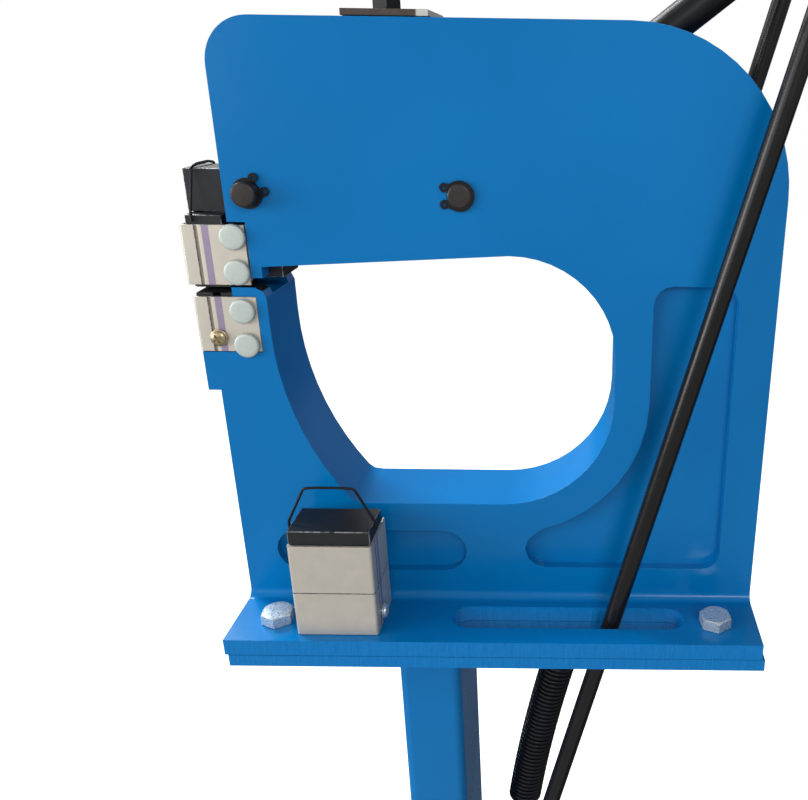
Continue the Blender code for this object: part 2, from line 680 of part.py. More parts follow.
def flange_bolts():
    """Four hexagon bolts through flange and stand plate, each with its nut below."""
    flats = FLANGE_BOLT_FLATS / math.sqrt(3)
    for index, place in enumerate(flange_bolt_places()):
        seat = FLANGE_TOP + TOUCH
        nut_top = PLATE_BOTTOM - TOUCH
        tip = nut_top - FLANGE_NUT_HEIGHT - 4 * MM
        at = lambda z: Vector((place.x, place.y, z))
        head = rod_between(f"flange_bolt_{index + 1}", at(seat), at(seat + FLANGE_BOLT_HEAD), flats,
                           ZINC, sides=6)
        shank = rod_between(f"shank_{index}", at(tip), at(seat + 1 * MM), FLANGE_BOLT_D / 2 - 0.1 * MM)
        join(head, shank)
        nut = rod_between(f"flange_nut_{index + 1}", at(nut_top - FLANGE_NUT_HEIGHT), at(nut_top), flats,
                          ZINC, sides=6)
        reach = 2 * MM
        bore = rod_between(f"nut_bore_{index}", at(nut_top - FLANGE_NUT_HEIGHT - reach),
                           at(nut_top + reach), FLANGE_BOLT_D / 2 + RUNNING)
        cut(nut, bore)


def column():
    bottom = BASE_THICK + TOUCH
    top = PLATE_BOTTOM - TOUCH
    half_x = COLUMN_LENGTH_X / 2
    half_y = COLUMN_LENGTH_Y / 2
    middle = (bottom + top) / 2

    def ring(inset, radius):
        x = half_x - inset
        y = half_y - inset
        return rounded([
            (COLUMN_X + x, -y, radius), (COLUMN_X + x, y, radius),
            (COLUMN_X - x, y, radius), (COLUMN_X - x, -y, radius),
        ], steps=4)

    corner = 5 * MM
    item = plate("stand_column", ring(0, corner), top - bottom, floor_plane(middle), BLUE)
    bore = plate("column_bore", ring(COLUMN_WALL, corner - COLUMN_WALL), top, floor_plane(middle))
    pivot = cross_pin("pedal_pivot_hole", PEDAL_PIVOT, half_y + 5 * MM, PEDAL_PIN_D / 2 + RUNNING)
    return cut(item, bore, pivot)


def base():
    half_x = BASE_LENGTH / 2
    half_y = BASE_WIDTH / 2
    outline = rounded([
        (half_x, -half_y, 25 * MM), (half_x, half_y, 25 * MM),
        (-half_x, half_y, 25 * MM), (-half_x, -half_y, 25 * MM),
    ], steps=5)
    item = plate("base_plate", outline, BASE_THICK, floor_plane(BASE_THICK / 2), BLUE)
    tools = []
    for x in (-half_x + ANCHOR_INSET, half_x - ANCHOR_INSET):
        for y in (-half_y + ANCHOR_INSET, half_y - ANCHOR_INSET):
            tools.append(rod_between(f"anchor_{x:.2f}_{y:.2f}", (x, y, -BASE_THICK),
                                     (x, y, 2 * BASE_THICK), ANCHOR_D / 2))
    return cut(item, *tools)


# ================================================================ pins and circlips
def circlip(name, pin, y, opening):
    """An external circlip: an open ring with a lug and a small hole at each end."""
    inner = PIN_D / 2 - 0.25 * MM
    outer = PIN_D / 2 + 1.5 * MM
    gap = math.radians(20)
    centre = Vector((pin.x, pin.z))
    turns = 20
    sweep = 2 * math.pi - 2 * gap
    angles = [opening + gap + sweep * step / turns for step in range(turns + 1)]
    ring = [centre + outer * Vector((math.cos(a), math.sin(a))) for a in angles]
    ring += [centre + inner * Vector((math.cos(a), math.sin(a))) for a in reversed(angles)]
    item = plate(name, ring, CIRCLIP_THICK, side_plane(y), BLACK_OXIDE)
    holes = []
    for sign in (-1, 1):
        angle = opening + sign * (gap + math.radians(9))
        at = centre + (outer + 0.9 * MM) * Vector((math.cos(angle), math.sin(angle)))
        lug = cross_pin(f"{name}_lug_{sign}", (at.x, y, at.y), CIRCLIP_THICK / 2, 2.3 * MM, sides=12)
        join(item, lug)
        holes.append(cross_pin(f"{name}_hole_{sign}", (at.x, y, at.y), 2 * MM, 0.9 * MM, sides=8))
    return cut(item, *holes)


def pivot_pins():
    """The two pivot pins, grooved for a circlip at each face of the casting."""
    radius = PIN_D / 2
    groove = radius - 0.5 * MM
    groove_at = HALF + TOUCH
    pins = (
        ("front_pivot_pin", FRONT_PIN, FRONT_PIN_PROUD, math.radians(35)),
        ("rear_pivot_pin", REAR_PIN, REAR_PIN_PROUD, math.radians(180)),
    )
    for name, pin, proud, opening in pins:
        near = HALF + proud
        far = HALF + REAR_PIN_PROUD
        width = CIRCLIP_THICK + 2 * 0.2 * MM
        profile = [
            (0.0, near), (radius - 0.8 * MM, near), (radius, near - 0.8 * MM),
            (radius, groove_at + width), (groove, groove_at + width), (groove, groove_at),
            (radius, groove_at), (radius, -groove_at), (groove, -groove_at),
            (groove, -groove_at - width), (radius, -groove_at - width),
            (radius, -far), (0.0, -far),
        ]
        smooth(turned(name, profile, toward_viewer(pin), BLACK_OXIDE))
        for side, label in ((-1, "near"), (1, "far")):
            y = side * (groove_at + width / 2)
            circlip(f"{name}_circlip_{label}", pin, y, opening)


# ================================================================ levers
def main_lever():
    """The forged lever on the rear pin, with the long round bar screwed into it."""
    pin = REAR_PIN
    half_depth = 10.5 * MM
    along = Vector((LEVER_DIRECTION.x, LEVER_DIRECTION.z))
    up = Vector((-along.y, along.x))
    origin = Vector((pin.x, pin.z))
    end = 42 * MM
    contact = pin.z + 4.3 * MM
    outline = [
        origin + along * end - up * half_depth,
        origin + along * end + up * half_depth,
        origin + along * 8 * MM + up * (half_depth + 2.5 * MM),
        Vector((pin.x - 6 * MM, pin.z + 12.5 * MM)),
        Vector((pin.x - 17 * MM, contact - 1.5 * MM)),
        Vector((MEETING_X + 5 * MM, contact - 0.9 * MM)),
        Vector((MEETING_X + 2 * MM, contact)),
        Vector((MEETING_X - 2 * MM, contact)),
        Vector((MEETING_X - 5 * MM, contact - 1.5 * MM)),
        Vector((MEETING_X - 6 * MM, contact - 9 * MM)),
        Vector((pin.x - 10 * MM, pin.z - 12 * MM)),
        Vector((pin.x + 2 * MM, pin.z - 13.5 * MM)),
        Vector((pin.x + 12 * MM, pin.z - 9 * MM)),
    ]
    lever = plate("main_lever", outline, LEVER_THICK, side_plane(), BLACK_OXIDE)
    hole = cross_pin("main_lever_bore", pin, LEVER_THICK, PIN_D / 2 + RUNNING)
    socket_start = pin + LEVER_DIRECTION * 22 * MM
    socket_end = pin + LEVER_DIRECTION * (end + 10 * MM)
    socket = rod_between("lever_socket", socket_start, socket_end, LEVER_SPIGOT_D / 2 + RUNNING)
    cut(lever, hole, socket)

    bar_start = pin + LEVER_DIRECTION * (end + TOUCH)
    bar = rod_between("lever_bar", bar_start, ROD_TOP, LEVER_BAR_D / 2, BLACK_PAINT)
    spigot = rod_between("lever_spigot", socket_start + LEVER_DIRECTION * TOUCH,
                         bar_start + LEVER_DIRECTION * MM, LEVER_SPIGOT_D / 2)
    eye = cross_pin("lever_eye", ROD_TOP, LEVER_BAR_D * 0.8, 12 * MM)
    join(bar, spigot, eye)
    cut(bar, cross_pin("lever_eye_bore", ROD_TOP, 2 * LEVER_BAR_D, ROD_PIN_D / 2 + RUNNING))

    head = ROD_OFFSET + ROD_D / 2 + TOUCH
    radius = ROD_PIN_D / 2
    profile = [
        (0.0, head + 3 * MM), (radius + 1.5 * MM, head + 3 * MM), (radius + 2.5 * MM, head + 2 * MM),
        (radius + 2.5 * MM, head), (radius, head), (radius, -head), (radius + 2.5 * MM, -head),
        (radius + 2.5 * MM, -head - 2 * MM), (radius + 1.5 * MM, -head - 3 * MM), (0.0, -head - 3 * MM),
    ]
    pin_item = turned("rod_top_pin", profile, toward_viewer(ROD_TOP), ZINC)
    move_with("main_lever", pin, lever, bar, pin_item)
    smooth(bar, pin_item)


def inner_lever():
    """The lever on the front pin: its tail is lifted, its nose pushes the slide down."""
    pin = FRONT_PIN
    tip = pin.x - NOSE_REACH - 1 * MM
    low = pin.z + 4.7 * MM
    tail = MEETING_X - 6 * MM
    outline = [
        Vector((tip, pin.z - 3.2 * MM)),
        Vector((tip, pin.z + 3.2 * MM)),
        Vector((pin.x - 11.5 * MM, pin.z + 3.2 * MM)),
        Vector((pin.x - 8 * MM, pin.z + 9 * MM)),
        Vector((pin.x + 8 * MM, pin.z + 14 * MM)),
        Vector((STOP_X + 4 * MM, pin.z + 15 * MM)),
        Vector((STOP_X + 6.5 * MM, pin.z + 12.5 * MM)),
        Vector((STOP_X + 6.5 * MM, low)),
        Vector((tail, low)),
        Vector((pin.x + 10 * MM, pin.z - 6.5 * MM)),
        Vector((pin.x + 4 * MM, pin.z - 8.7 * MM)),
        Vector((pin.x - 5 * MM, pin.z - 8.7 * MM)),
        Vector((pin.x - 10.5 * MM, pin.z - 3.2 * MM)),
    ]
    lever = plate("inner_lever", outline, LEVER_THICK, side_plane(), BLACK_OXIDE)
    cut(lever, cross_pin("inner_lever_bore", pin, LEVER_THICK, PIN_D / 2 + RUNNING))
    move_with("inner_lever", pin, lever)


def stop():
    """The adjustable stop above the meeting point: a plate across the slot, a screw and a locknut."""
    front = STOP_X - STOP_PLATE_FRONT
    bottom = CASTING_TOP + TOUCH
    top = bottom + STOP_PLATE_THICK
    bar = block("stop_plate", (front, -HALF, bottom), (front + STOP_PLATE_LENGTH, HALF, top), STOP_STEEL)
    at = lambda z: Vector((STOP_X, 0.0, z))
    radius = STOP_SCREW_D / 2
    hole = radius + RUNNING
    cut(bar, rod_between("stop_hole", at(bottom - 5 * MM), at(top + 5 * MM), hole))
    flats = STOP_HEX_FLATS / math.sqrt(3)
    nut = rod_between("stop_locknut", at(top + TOUCH), at(top + TOUCH + 7 * MM), flats, STOP_STEEL, sides=6)
    cut(nut, rod_between("stop_nut_bore", at(top - 5 * MM), at(top + 15 * MM), hole))
    tip = PIN_Z + 23.8 * MM
    head = top + 22 * MM
    screw = rod_between("stop_screw", at(tip), at(head + MM), radius - 0.1 * MM, STOP_STEEL)
    hexagon = rod_between("stop_screw_hex", at(head), at(head + 6 * MM), flats, sides=6)
    join(screw, hexagon)
    move_with("stop_screw", at(tip), screw)


# ================================================================ rods, spring and pedal
def rods():
    """Two round rods with an eye at each end, one on each side of the column."""
    eye_half = ROD_D / 2
    pieces = []
    for side, name in ((-1, "rod_near"), (1, "rod_far")):
        shift = Vector((0.0, side * ROD_OFFSET, 0.0))
        bar = rod_between(name, ROD_FOOT + shift, ROD_TOP + shift, ROD_D / 2, BLACK_PAINT, sides=16)
        bores = []
        for label, end in (("foot", ROD_FOOT), ("top", ROD_TOP)):
            join(bar, cross_pin(f"{name}_{label}_eye", end + shift, eye_half, ROD_EYE_D / 2, sides=20))
            bores.append(cross_pin(f"{name}_{label}_bore", end + shift, 2 * eye_half,
                                   ROD_PIN_D / 2 + RUNNING, sides=20))
        cut(bar, *bores)
        smooth(bar)
        pieces.append(bar)
    gap = ROD_OFFSET - ROD_D / 2 - TOUCH
    pieces.append(cross_pin("spring_cross_bar", CROSS_BAR, gap, CROSS_BAR_D / 2, BLACK_PAINT, sides=16))

    head = PEDAL_ARM_Y + PEDAL_ARM_THICK + TOUCH
    radius = ROD_PIN_D / 2
    profile = [
        (0.0, head + 3 * MM), (radius + 2.5 * MM, head + 3 * MM), (radius + 2.5 * MM, head), (radius, head),
        (radius, -head), (radius + 2.5 * MM, -head), (radius + 2.5 * MM, -head - 3 * MM),
        (0.0, -head - 3 * MM),
    ]
    foot_pin = turned("rod_foot_pin", profile, toward_viewer(ROD_FOOT), ZINC)
    smooth(foot_pin)
    move_with("rods", ROD_TOP, foot_pin, *pieces)


def spring_line(z):
    """The spring's bowed centre line, as a point at a height."""
    top = spring_eye_place()
    bottom = CROSS_BAR
    share = (top.z - z) / (top.z - bottom.z)
    bow = SPRING_BOW * 4 * share * (1 - share)
    return Vector((top.x + (bottom.x - top.x) * share - bow, 0.0, z))


def return_spring():
    """A close-wound extension spring, hooked in the lug above and ending in a loop below."""
    radius = (SPRING_OD - SPRING_WIRE) / 2
    eye = spring_eye_place()
    coil_top = eye.z - 10 * MM
    turns = round((eye.z - CROSS_BAR.z) * SPRING_COIL_SHARE / SPRING_PITCH)
    per_turn = 8
    points = [
        eye + Vector((0.0, -4 * MM, -3 * MM)),
        eye + Vector((0.0, -2.5 * MM, 0.0)),
        eye + Vector((0.0, 2.5 * MM, 0.0)),
        eye + Vector((0.0, 5 * MM, -3 * MM)),
    ]
    for step in range(turns * per_turn + 1):
        angle = math.pi / 2 + 2 * math.pi * step / per_turn
        z = coil_top - SPRING_PITCH * step / per_turn
        middle = spring_line(z)
        points.append(middle + Vector((radius * math.cos(angle), radius * math.sin(angle), 0.0)))
    last = points[-1]
    points.append(spring_line(last.z - 8 * MM) + Vector((0.0, 4 * MM, 0.0)))
    points.append(spring_line(last.z - 14 * MM))
    wire("return_spring", points, SPRING_WIRE / 2, BLACK_PAINT, sides_setting=0)
    return points[-1]


def spring_link(top):
    """The long hook that joins the coil to the bar between the rods."""
    radius = CROSS_BAR_D / 2 + SPRING_WIRE / 2 + HOOK_CLEARANCE
    centre = CROSS_BAR
    points = [top + Vector((0.0, 0.0, -SPRING_WIRE - TOUCH)), spring_line(centre.z + 12 * MM)]
    for step in range(9):
        angle = math.radians(150 - 30 * step)
        points.append(centre + radius * Vector((-math.cos(angle), 0.0, math.sin(angle))))
    item = wire("spring_hook", points[:2] + points[3:], SPRING_WIRE / 2, BLACK_PAINT)
    move_with("spring_hook", centre, item)


def pedal():
    """Two flat arms that straddle the column, and the treadle across their front ends."""
    along = Vector((PEDAL_DIRECTION.x, PEDAL_DIRECTION.z))
    pivot = Vector((PEDAL_PIVOT.x, PEDAL_PIVOT.z))
    up = Vector((along.y, -along.x))
    tread_end = PEDAL_REACH + TREADLE_LENGTH / 2
    end = pivot + along * (tread_end - TREADLE_THICK - MM - PEDAL_ARM_DEPTH / 2)
    foot = Vector((ROD_FOOT.x, ROD_FOOT.z))
    play = Vector((PEDAL_SLOT_PLAY, 0.0))
    pieces = []
    for side, name in ((-1, "pedal_arm_near"), (1, "pedal_arm_far")):
        y = side * (PEDAL_ARM_Y + PEDAL_ARM_THICK / 2)
        outline = slot_outline(pivot, end, PEDAL_ARM_DEPTH / 2)
        arm = plate(name, outline, PEDAL_ARM_THICK, side_plane(y), BLACK_PAINT)
        reach = PEDAL_ARM_THICK
        bore = cross_pin(f"{name}_bore", (pivot.x, y, pivot.y), reach, PEDAL_PIN_D / 2 + RUNNING)
        slot = plate(f"{name}_slot", slot_outline(foot + play, foot - play, ROD_PIN_D / 2 + 0.6 * MM),
                     2 * reach, side_plane(y))
        pieces.append(cut(arm, bore, slot))

    top = PEDAL_ARM_DEPTH / 2 + TOUCH
    back = pivot + along * (PEDAL_REACH - TREADLE_LENGTH / 2) + up * top
    front = pivot + along * tread_end + up * top
    lip = front - up * 18 * MM
    inner = front - along * TREADLE_THICK
    outline = [back, back + up * TREADLE_THICK, front + up * TREADLE_THICK, lip, lip - along * TREADLE_THICK,
               inner]
    width = 2 * (PEDAL_ARM_Y + PEDAL_ARM_THICK + TREADLE_OVERHANG)
    pieces.append(plate("treadle", outline, width, side_plane(), BLACK_PAINT))
    move_with("pedal", PEDAL_PIVOT, *pieces)

    radius = PEDAL_PIN_D / 2
    collar_in = COLUMN_LENGTH_Y / 2 + TOUCH
    collar_out = PEDAL_ARM_Y - TOUCH
    head = PEDAL_ARM_Y + PEDAL_ARM_THICK + TOUCH
    half = [
        (0.0, head + 3 * MM), (radius + 3 * MM, head + 3 * MM), (radius + 3 * MM, head), (radius, head),
        (radius, collar_out), (radius + 4 * MM, collar_out), (radius + 4 * MM, collar_in), (radius, collar_in),
    ]
    profile = half + [(r, -z) for r, z in reversed(half)]
    smooth(turned("pedal_pivot_pin", profile, toward_viewer(PEDAL_PIVOT), ZINC))


# ================================================================ jaws
def cover(name, front_x, low, height, width, depth):
    """A U of stainless sheet, open at the back, standing on a height. Its front faces -X."""
    half = width / 2
    back = front_x + depth
    wall = COVER_WALL
    bend = wall + 0.6 * MM
    outline = rounded([
        (back, -half, 0), (back, -half + wall, 0), (front_x + wall, -half + wall, 0),
        (front_x + wall, half - wall, 0), (back, half - wall, 0), (back, half, 0),
        (front_x, half, bend), (front_x, -half, bend),
    ], steps=3)
    return plate(name, outline, height, floor_plane(low + height / 2), STAINLESS)


def clamp_bolt(name, z, half_width):
    """A through bolt with a large flat round head on each side."""
    radius = CLAMP_BOLT_D / 2
    head = CLAMP_HEAD_D / 2
    seat = half_width + TOUCH
    top = seat + CLAMP_HEAD_THICK
    half = [(0.0, top), (head - 0.5 * MM, top), (head, top - 0.5 * MM), (head, seat), (radius, seat)]
    profile = half + [(r, -h) for r, h in reversed(half)]
    item = turned(name, profile, toward_viewer((CLAMP_BOLT_X, 0.0, z)), ZINC)
    smooth(item)
    return item


def pan_profile(seat, length):
    """A pan head screw with its washer: (radius, height) with the seat at a height."""
    shank = PAN_SCREW_D / 2
    head = PAN_HEAD_D / 2
    return [
        (0.0, seat + PAN_HEAD_THICK), (head * 0.6, seat + PAN_HEAD_THICK),
        (head * 0.85, seat + PAN_HEAD_THICK * 0.7), (head * 0.9, seat + 0.8 * MM),
        (head + 0.4 * MM, seat + 0.8 * MM), (head + 0.4 * MM, seat), (shank, seat),
        (shank, seat - length), (0.0, seat - length),
    ]


def jaw_slide():
    """The ram: a shank in front of the nose, a tongue in the guide, a wide foot for the clamp bolts."""
    top = FLANGE_TOP + SLIDE_TOP_RISE
    bottom = UPPER_COVER_Z + 2.0 * MM
    step_x = BLOCK_REAR_X - 4.0 * MM
    block_top = UPPER_COVER_Z + UPPER_COVER_HEIGHT + BLOCK_PROUD
    rear = ARM_FRONT_X - 0.5 * MM
    outline = [
        (JAW_FRONT_X + 1.6 * MM, top), (rear, top), (rear, SLIDE_SHOULDER),
        (GUIDE_REAR_X, SLIDE_SHOULDER), (GUIDE_REAR_X, bottom), (HOLDER_FRONT_X, bottom),
        (HOLDER_FRONT_X, block_top - 9 * MM), (step_x, block_top - 9 * MM),
        (step_x, block_top + TOUCH), (JAW_FRONT_X + 1.6 * MM, block_top + TOUCH),
    ]
    slide = plate("jaw_slide", outline, 2 * SLIDE_HALF, side_plane(), DIE_STEEL)
    foot = block(
        "slide_foot",
        (HOLDER_FRONT_X, -HEAD_HALF, bottom),
        (CHEEK_FRONT_X - TOUCH - 0.2 * MM, HEAD_HALF, UPPER_COVER_Z + UPPER_COVER_HEIGHT),
    )
    join(slide, foot)
    notch_half = LEVER_THICK / 2 + SIDE_PLAY
    notch = block(
        "slide_notch",
        (FRONT_PIN_X - NOSE_REACH - 2 * MM, -notch_half, PIN_Z - 3.6 * MM),
        (rear + 5 * MM, notch_half, PIN_Z + 4.6 * MM),
    )
    cut(slide, notch, *clamp_holes("slide_hole", upper_clamp_heights()))
    return slide


def upper_jaw():
    slide = jaw_slide()
    width = CASTING_THICK - 2 * COVER_INSET
    shell = cover("upper_jaw_cover", JAW_FRONT_X, UPPER_COVER_Z, UPPER_COVER_HEIGHT, width, COVER_DEPTH)
    cut(shell, *clamp_holes("upper_cover_hole", upper_clamp_heights()))
    die_top = UPPER_DIE_Z + DIE_HEIGHT
    block_top = UPPER_COVER_Z + UPPER_COVER_HEIGHT + BLOCK_PROUD
    half = HEAD_HALF
    body = block(
        "upper_die_block",
        (BLOCK_FRONT_X, -half, die_top + TOUCH),
        (BLOCK_REAR_X, half, block_top),
        DIE_STEEL,
    )
    seat = block(
        "slide_seat",
        (BLOCK_REAR_X - 4.0 * MM - TOUCH, -SLIDE_HALF - TOUCH, block_top - 9 * MM - TOUCH),
        (BLOCK_REAR_X + 5 * MM, SLIDE_HALF + TOUCH, block_top + 5 * MM),
    )
    cut(body, seat)
    bolts = [
        clamp_bolt(f"upper_clamp_bolt_{index + 1}", z, HALF)
        for index, z in enumerate(upper_clamp_heights())
    ]
    foot_z = UPPER_COVER_Z + UPPER_COVER_HEIGHT + BLOCK_PROUD / 2
    bail = bail_wire("upper_jaw_bail", 25.6 * MM, half,
                     Matrix.Translation((JAW_FRONT_X + 7 * MM, 0.0, foot_z)), SLIDE_HALF + 1.3 * MM)
    move_with("jaw_slide", (JAW_FRONT_X, 0.0, UPPER_COVER_Z), slide, shell, body, bail, *bolts)


def lower_jaw():
    width = CASTING_THICK - 2 * COVER_INSET
    shell = cover("lower_jaw_cover", LOWER_FRONT_X, LOWER_COVER_Z, LOWER_COVER_HEIGHT, width, COVER_DEPTH)
    screw_z = LOWER_COVER_Z + PAN_SCREW_UP
    screw_x = CLAMP_BOLT_X - PAN_SCREW_AHEAD
    screw_hole = cross_pin("pan_screw_hole", (screw_x, -HALF, screw_z), 6 * MM,
                           PAN_SCREW_D / 2 + RUNNING, sides=16)
    cut(shell, screw_hole, *clamp_holes("lower_cover_hole", lower_clamp_heights()))
    die_bottom = LOWER_DIE_TOP - DIE_HEIGHT
    body = block(
        "lower_die_block",
        (BLOCK_FRONT_X, -HEAD_HALF, LOWER_COVER_Z),
        (BLOCK_REAR_X, HEAD_HALF, die_bottom - TOUCH),
        DIE_STEEL,
    )
    thread = cross_pin("lower_block_thread", (screw_x, -HALF, screw_z), 9 * MM,
                       PAN_SCREW_D / 2 + RUNNING, sides=16)
    cut(body, thread)
    for index, z in enumerate(lower_clamp_heights()):
        clamp_bolt(f"lower_clamp_bolt_{index + 1}", z, HALF)
    seat = HALF - COVER_INSET + TOUCH
    screw = turned("lower_pan_screw", pan_profile(seat, 7 * MM), toward_viewer((screw_x, 0.0, screw_z)),
                   ZINC, steps=16)
    smooth(screw)


def grip_dies():
    """Two gripping dies in each jaw, which slide towards each other as the jaws bite."""
    jaws = (("upper", UPPER_DIE_Z), ("lower", LOWER_DIE_TOP - DIE_HEIGHT))
    for jaw, low in jaws:
        for side, label in ((-1, "near"), (1, "far")):
            inner = side * DIE_SPACE / 2
            outer = side * (HEAD_HALF - TOUCH)
            y_low, y_high = sorted((inner, outer))
            die = block(
                f"{jaw}_grip_die_{label}",
                (BLOCK_FRONT_X, y_low, low),
                (BLOCK_REAR_X, y_high, low + DIE_HEIGHT),
                DIE_STEEL,
            )
            if jaw == "lower":
                at = (BLOCK_FRONT_X + 10.5 * MM, 0.0, LOWER_DIE_TOP - 1.6 * MM)
                cut(die, cross_pin(f"die_groove_{label}", at, HALF, 2.2 * MM, sides=12))
            move_with(f"{jaw}_grip_{label}", (JAW_FRONT_X, outer, low), die)


def bail_wire(name, rise, half_width, placing, top_half):
    """The wire bail: short feet at the block's sides, two raked legs and a bar across the top."""
    radius = BAIL_WIRE / 2
    inner = half_width + TOUCH + radius
    points = [
        (0.0, -inner, -0.9 * MM), (0.0, -inner, 3.2 * MM), (0.0, -top_half - 0.8 * MM, rise - 1.5 * MM),
        (0.0, -top_half + 0.8 * MM, rise), (0.0, top_half - 0.8 * MM, rise),
        (0.0, top_half + 0.8 * MM, rise - 1.5 * MM), (0.0, inner, 3.2 * MM), (0.0, inner, -0.9 * MM),
    ]
    return wire(name, [placing @ Vector(point) for point in points], radius, BLACK_OXIDE)


def spare_jaws():
    """A second jaw set, closed up and standing on the flange with its front towards -Y."""
    width = CASTING_THICK - 2 * COVER_INSET
    base_z = FLANGE_TOP + TOUCH
    upper_z = base_z + SPARE_LOWER_HEIGHT + TOUCH
    cover_top = upper_z + SPARE_UPPER_HEIGHT
    turn = Matrix.Translation((SPARE_X, 0.0, 0.0)) @ Matrix.Rotation(math.radians(90), 4, "Z")
    pieces = []
    wing_bolt_y = SPARE_FRONT_Y + (CLAMP_BOLT_X - JAW_FRONT_X)
    inner_half = width / 2 - COVER_WALL - TOUCH
    screw_y = wing_bolt_y - PAN_SCREW_AHEAD
    screw_z = base_z + PAN_SCREW_UP
    across = Matrix.Rotation(math.radians(90), 4, "Y")

    for label, low, height in (("lower", base_z, SPARE_LOWER_HEIGHT), ("upper", upper_z, SPARE_UPPER_HEIGHT)):
        shell = cover(f"spare_{label}_cover", SPARE_FRONT_Y, low, height, width, COVER_DEPTH)
        shell.data.transform(turn)
        holes = []
        for index, z in enumerate((low + CLAMP_BOLT_INSET, low + height - CLAMP_BOLT_INSET)):
            reach = Vector((width, 0.0, 0.0))
            centre = Vector((SPARE_X, wing_bolt_y, z))
            holes.append(rod_between(f"spare_{label}_hole_{index}", centre - reach, centre + reach,
                                     CLAMP_BOLT_D / 2 + RUNNING, sides=16))
        if label == "lower":
            centre = Vector((SPARE_X, screw_y, screw_z))
            holes.append(rod_between("spare_screw_hole", centre - reach, centre + reach,
                                     PAN_SCREW_D / 2 + RUNNING, sides=16))
        cut(shell, *holes)
        pieces.append(shell)

    front = SPARE_FRONT_Y + COVER_WALL + TOUCH
    back = front + SPARE_BLOCK_DEPTH
    low_block = block("spare_lower_block", (SPARE_X - inner_half, front, base_z),
                      (SPARE_X + inner_half, back, upper_z - TOUCH), DIE_STEEL)
    centre = Vector((SPARE_X, screw_y, screw_z))
    reach = Vector((width, 0.0, 0.0))
    cut(low_block, rod_between("spare_thread", centre - reach, centre + reach, PAN_SCREW_D / 2 + RUNNING,
                               sides=16))
    high_block = block("spare_upper_block", (SPARE_X - inner_half, front, upper_z),
                       (SPARE_X + inner_half, back, cover_top + MM), DIE_STEEL)
    head_half = width / 2 - 0.6 * MM
    head = block("spare_block_head", (SPARE_X - head_half, front, cover_top + TOUCH),
                 (SPARE_X + head_half, back, cover_top + SPARE_BLOCK_PROUD))
    join(high_block, head)
    pieces += [low_block, high_block]

    foot_z = cover_top + SPARE_BLOCK_PROUD - 1.5 * MM
    placing = (Matrix.Translation((SPARE_X, SPARE_FRONT_Y + 10 * MM, foot_z))
               @ Matrix.Rotation(math.radians(90), 4, "Z"))
    pieces.append(bail_wire("spare_bail", 23.5 * MM, head_half, placing, 13.3 * MM))

    for side, name in ((-1, "spare_screw_left"), (1, "spare_screw_right")):
        placing = Matrix.Translation(centre) @ Matrix.Rotation(math.radians(180 if side < 0 else 0), 4, "Z")
        screw = turned(name, pan_profile(width / 2 + TOUCH, 7 * MM), placing @ across, ZINC, steps=16)
        smooth(screw)
        pieces.append(screw)
    move_with("spare_jaws", (SPARE_X, SPARE_FRONT_Y, base_z), *pieces)


# ================================================================ the machine
casting()
stand_plate()
flange_bolts()
column()
base()
pivot_pins()
main_lever()
inner_lever()
stop()
rods()
spring_link(return_spring())
pedal()
upper_jaw()
lower_jaw()
grip_dies()
spare_jaws()
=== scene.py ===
# %% [markdown]
# # Looks for a foot-operated deep-throat metal shrinker
# A cast C-frame holds two stainless-covered jaws in front of a deep throat. Two long rods run from the
# levers down to a treadle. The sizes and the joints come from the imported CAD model. This file gives every
# piece its real edges, details and finish. Lengths are metres, +Z is up and the operator stands at -X.

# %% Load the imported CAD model
import math
from functools import partial

import bmesh
import bpy
from mathutils import Matrix, Vector


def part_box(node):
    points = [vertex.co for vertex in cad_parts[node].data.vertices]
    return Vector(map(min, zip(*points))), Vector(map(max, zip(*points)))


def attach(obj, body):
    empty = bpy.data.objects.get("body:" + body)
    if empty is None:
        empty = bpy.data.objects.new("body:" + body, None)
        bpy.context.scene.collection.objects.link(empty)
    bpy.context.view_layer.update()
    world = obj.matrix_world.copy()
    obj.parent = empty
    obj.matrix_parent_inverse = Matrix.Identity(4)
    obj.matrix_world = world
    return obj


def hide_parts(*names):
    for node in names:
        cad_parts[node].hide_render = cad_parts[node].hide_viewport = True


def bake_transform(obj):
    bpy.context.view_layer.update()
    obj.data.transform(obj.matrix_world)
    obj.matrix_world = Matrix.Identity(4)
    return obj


MM = 0.001
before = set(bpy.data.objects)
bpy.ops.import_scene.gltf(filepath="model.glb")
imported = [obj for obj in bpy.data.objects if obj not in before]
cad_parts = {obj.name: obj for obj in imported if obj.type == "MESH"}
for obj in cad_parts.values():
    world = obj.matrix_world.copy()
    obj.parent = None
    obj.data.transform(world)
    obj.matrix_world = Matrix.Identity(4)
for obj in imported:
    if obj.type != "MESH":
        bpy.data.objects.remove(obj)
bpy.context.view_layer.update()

# %% [markdown]
# ## Small helpers for colours and nodes
# Colours are written as sRGB hex, the way a paint shop reads them, and Blender mixes light in linear
# values, so one function converts them. One more function adds a node: its settings, then its inputs,
# where an input is a plain value, an output socket, or a node that lends its first output.


# %% Colour and node helpers
def linear(colour):
    """An sRGB hex colour as linear RGBA."""
    channels = [int(colour[place:place + 2], 16) / 255 for place in (1, 3, 5)]
    return (*[c / 12.92 if c <= 0.04045 else ((c + 0.055) / 1.055) ** 2.4 for c in channels], 1.0)


def add(tree, kind, inputs=(), **settings):
    """One node with its settings; each input takes a value, a socket or a node to link."""
    node = tree.nodes.new(kind)
    for key, value in settings.items():
        setattr(node, key, value)
    for key, value in dict(inputs).items():
        if isinstance(value, bpy.types.Node):
            value = value.outputs[0]
        if isinstance(value, bpy.types.NodeSocket):
            tree.links.new(value, node.inputs[key])
        else:
            node.inputs[key].default_value = value
    return node


def per_mm(size):
    """Pattern scale for features that repeat every so many millimetres."""
    return 1.0 / (size * MM)


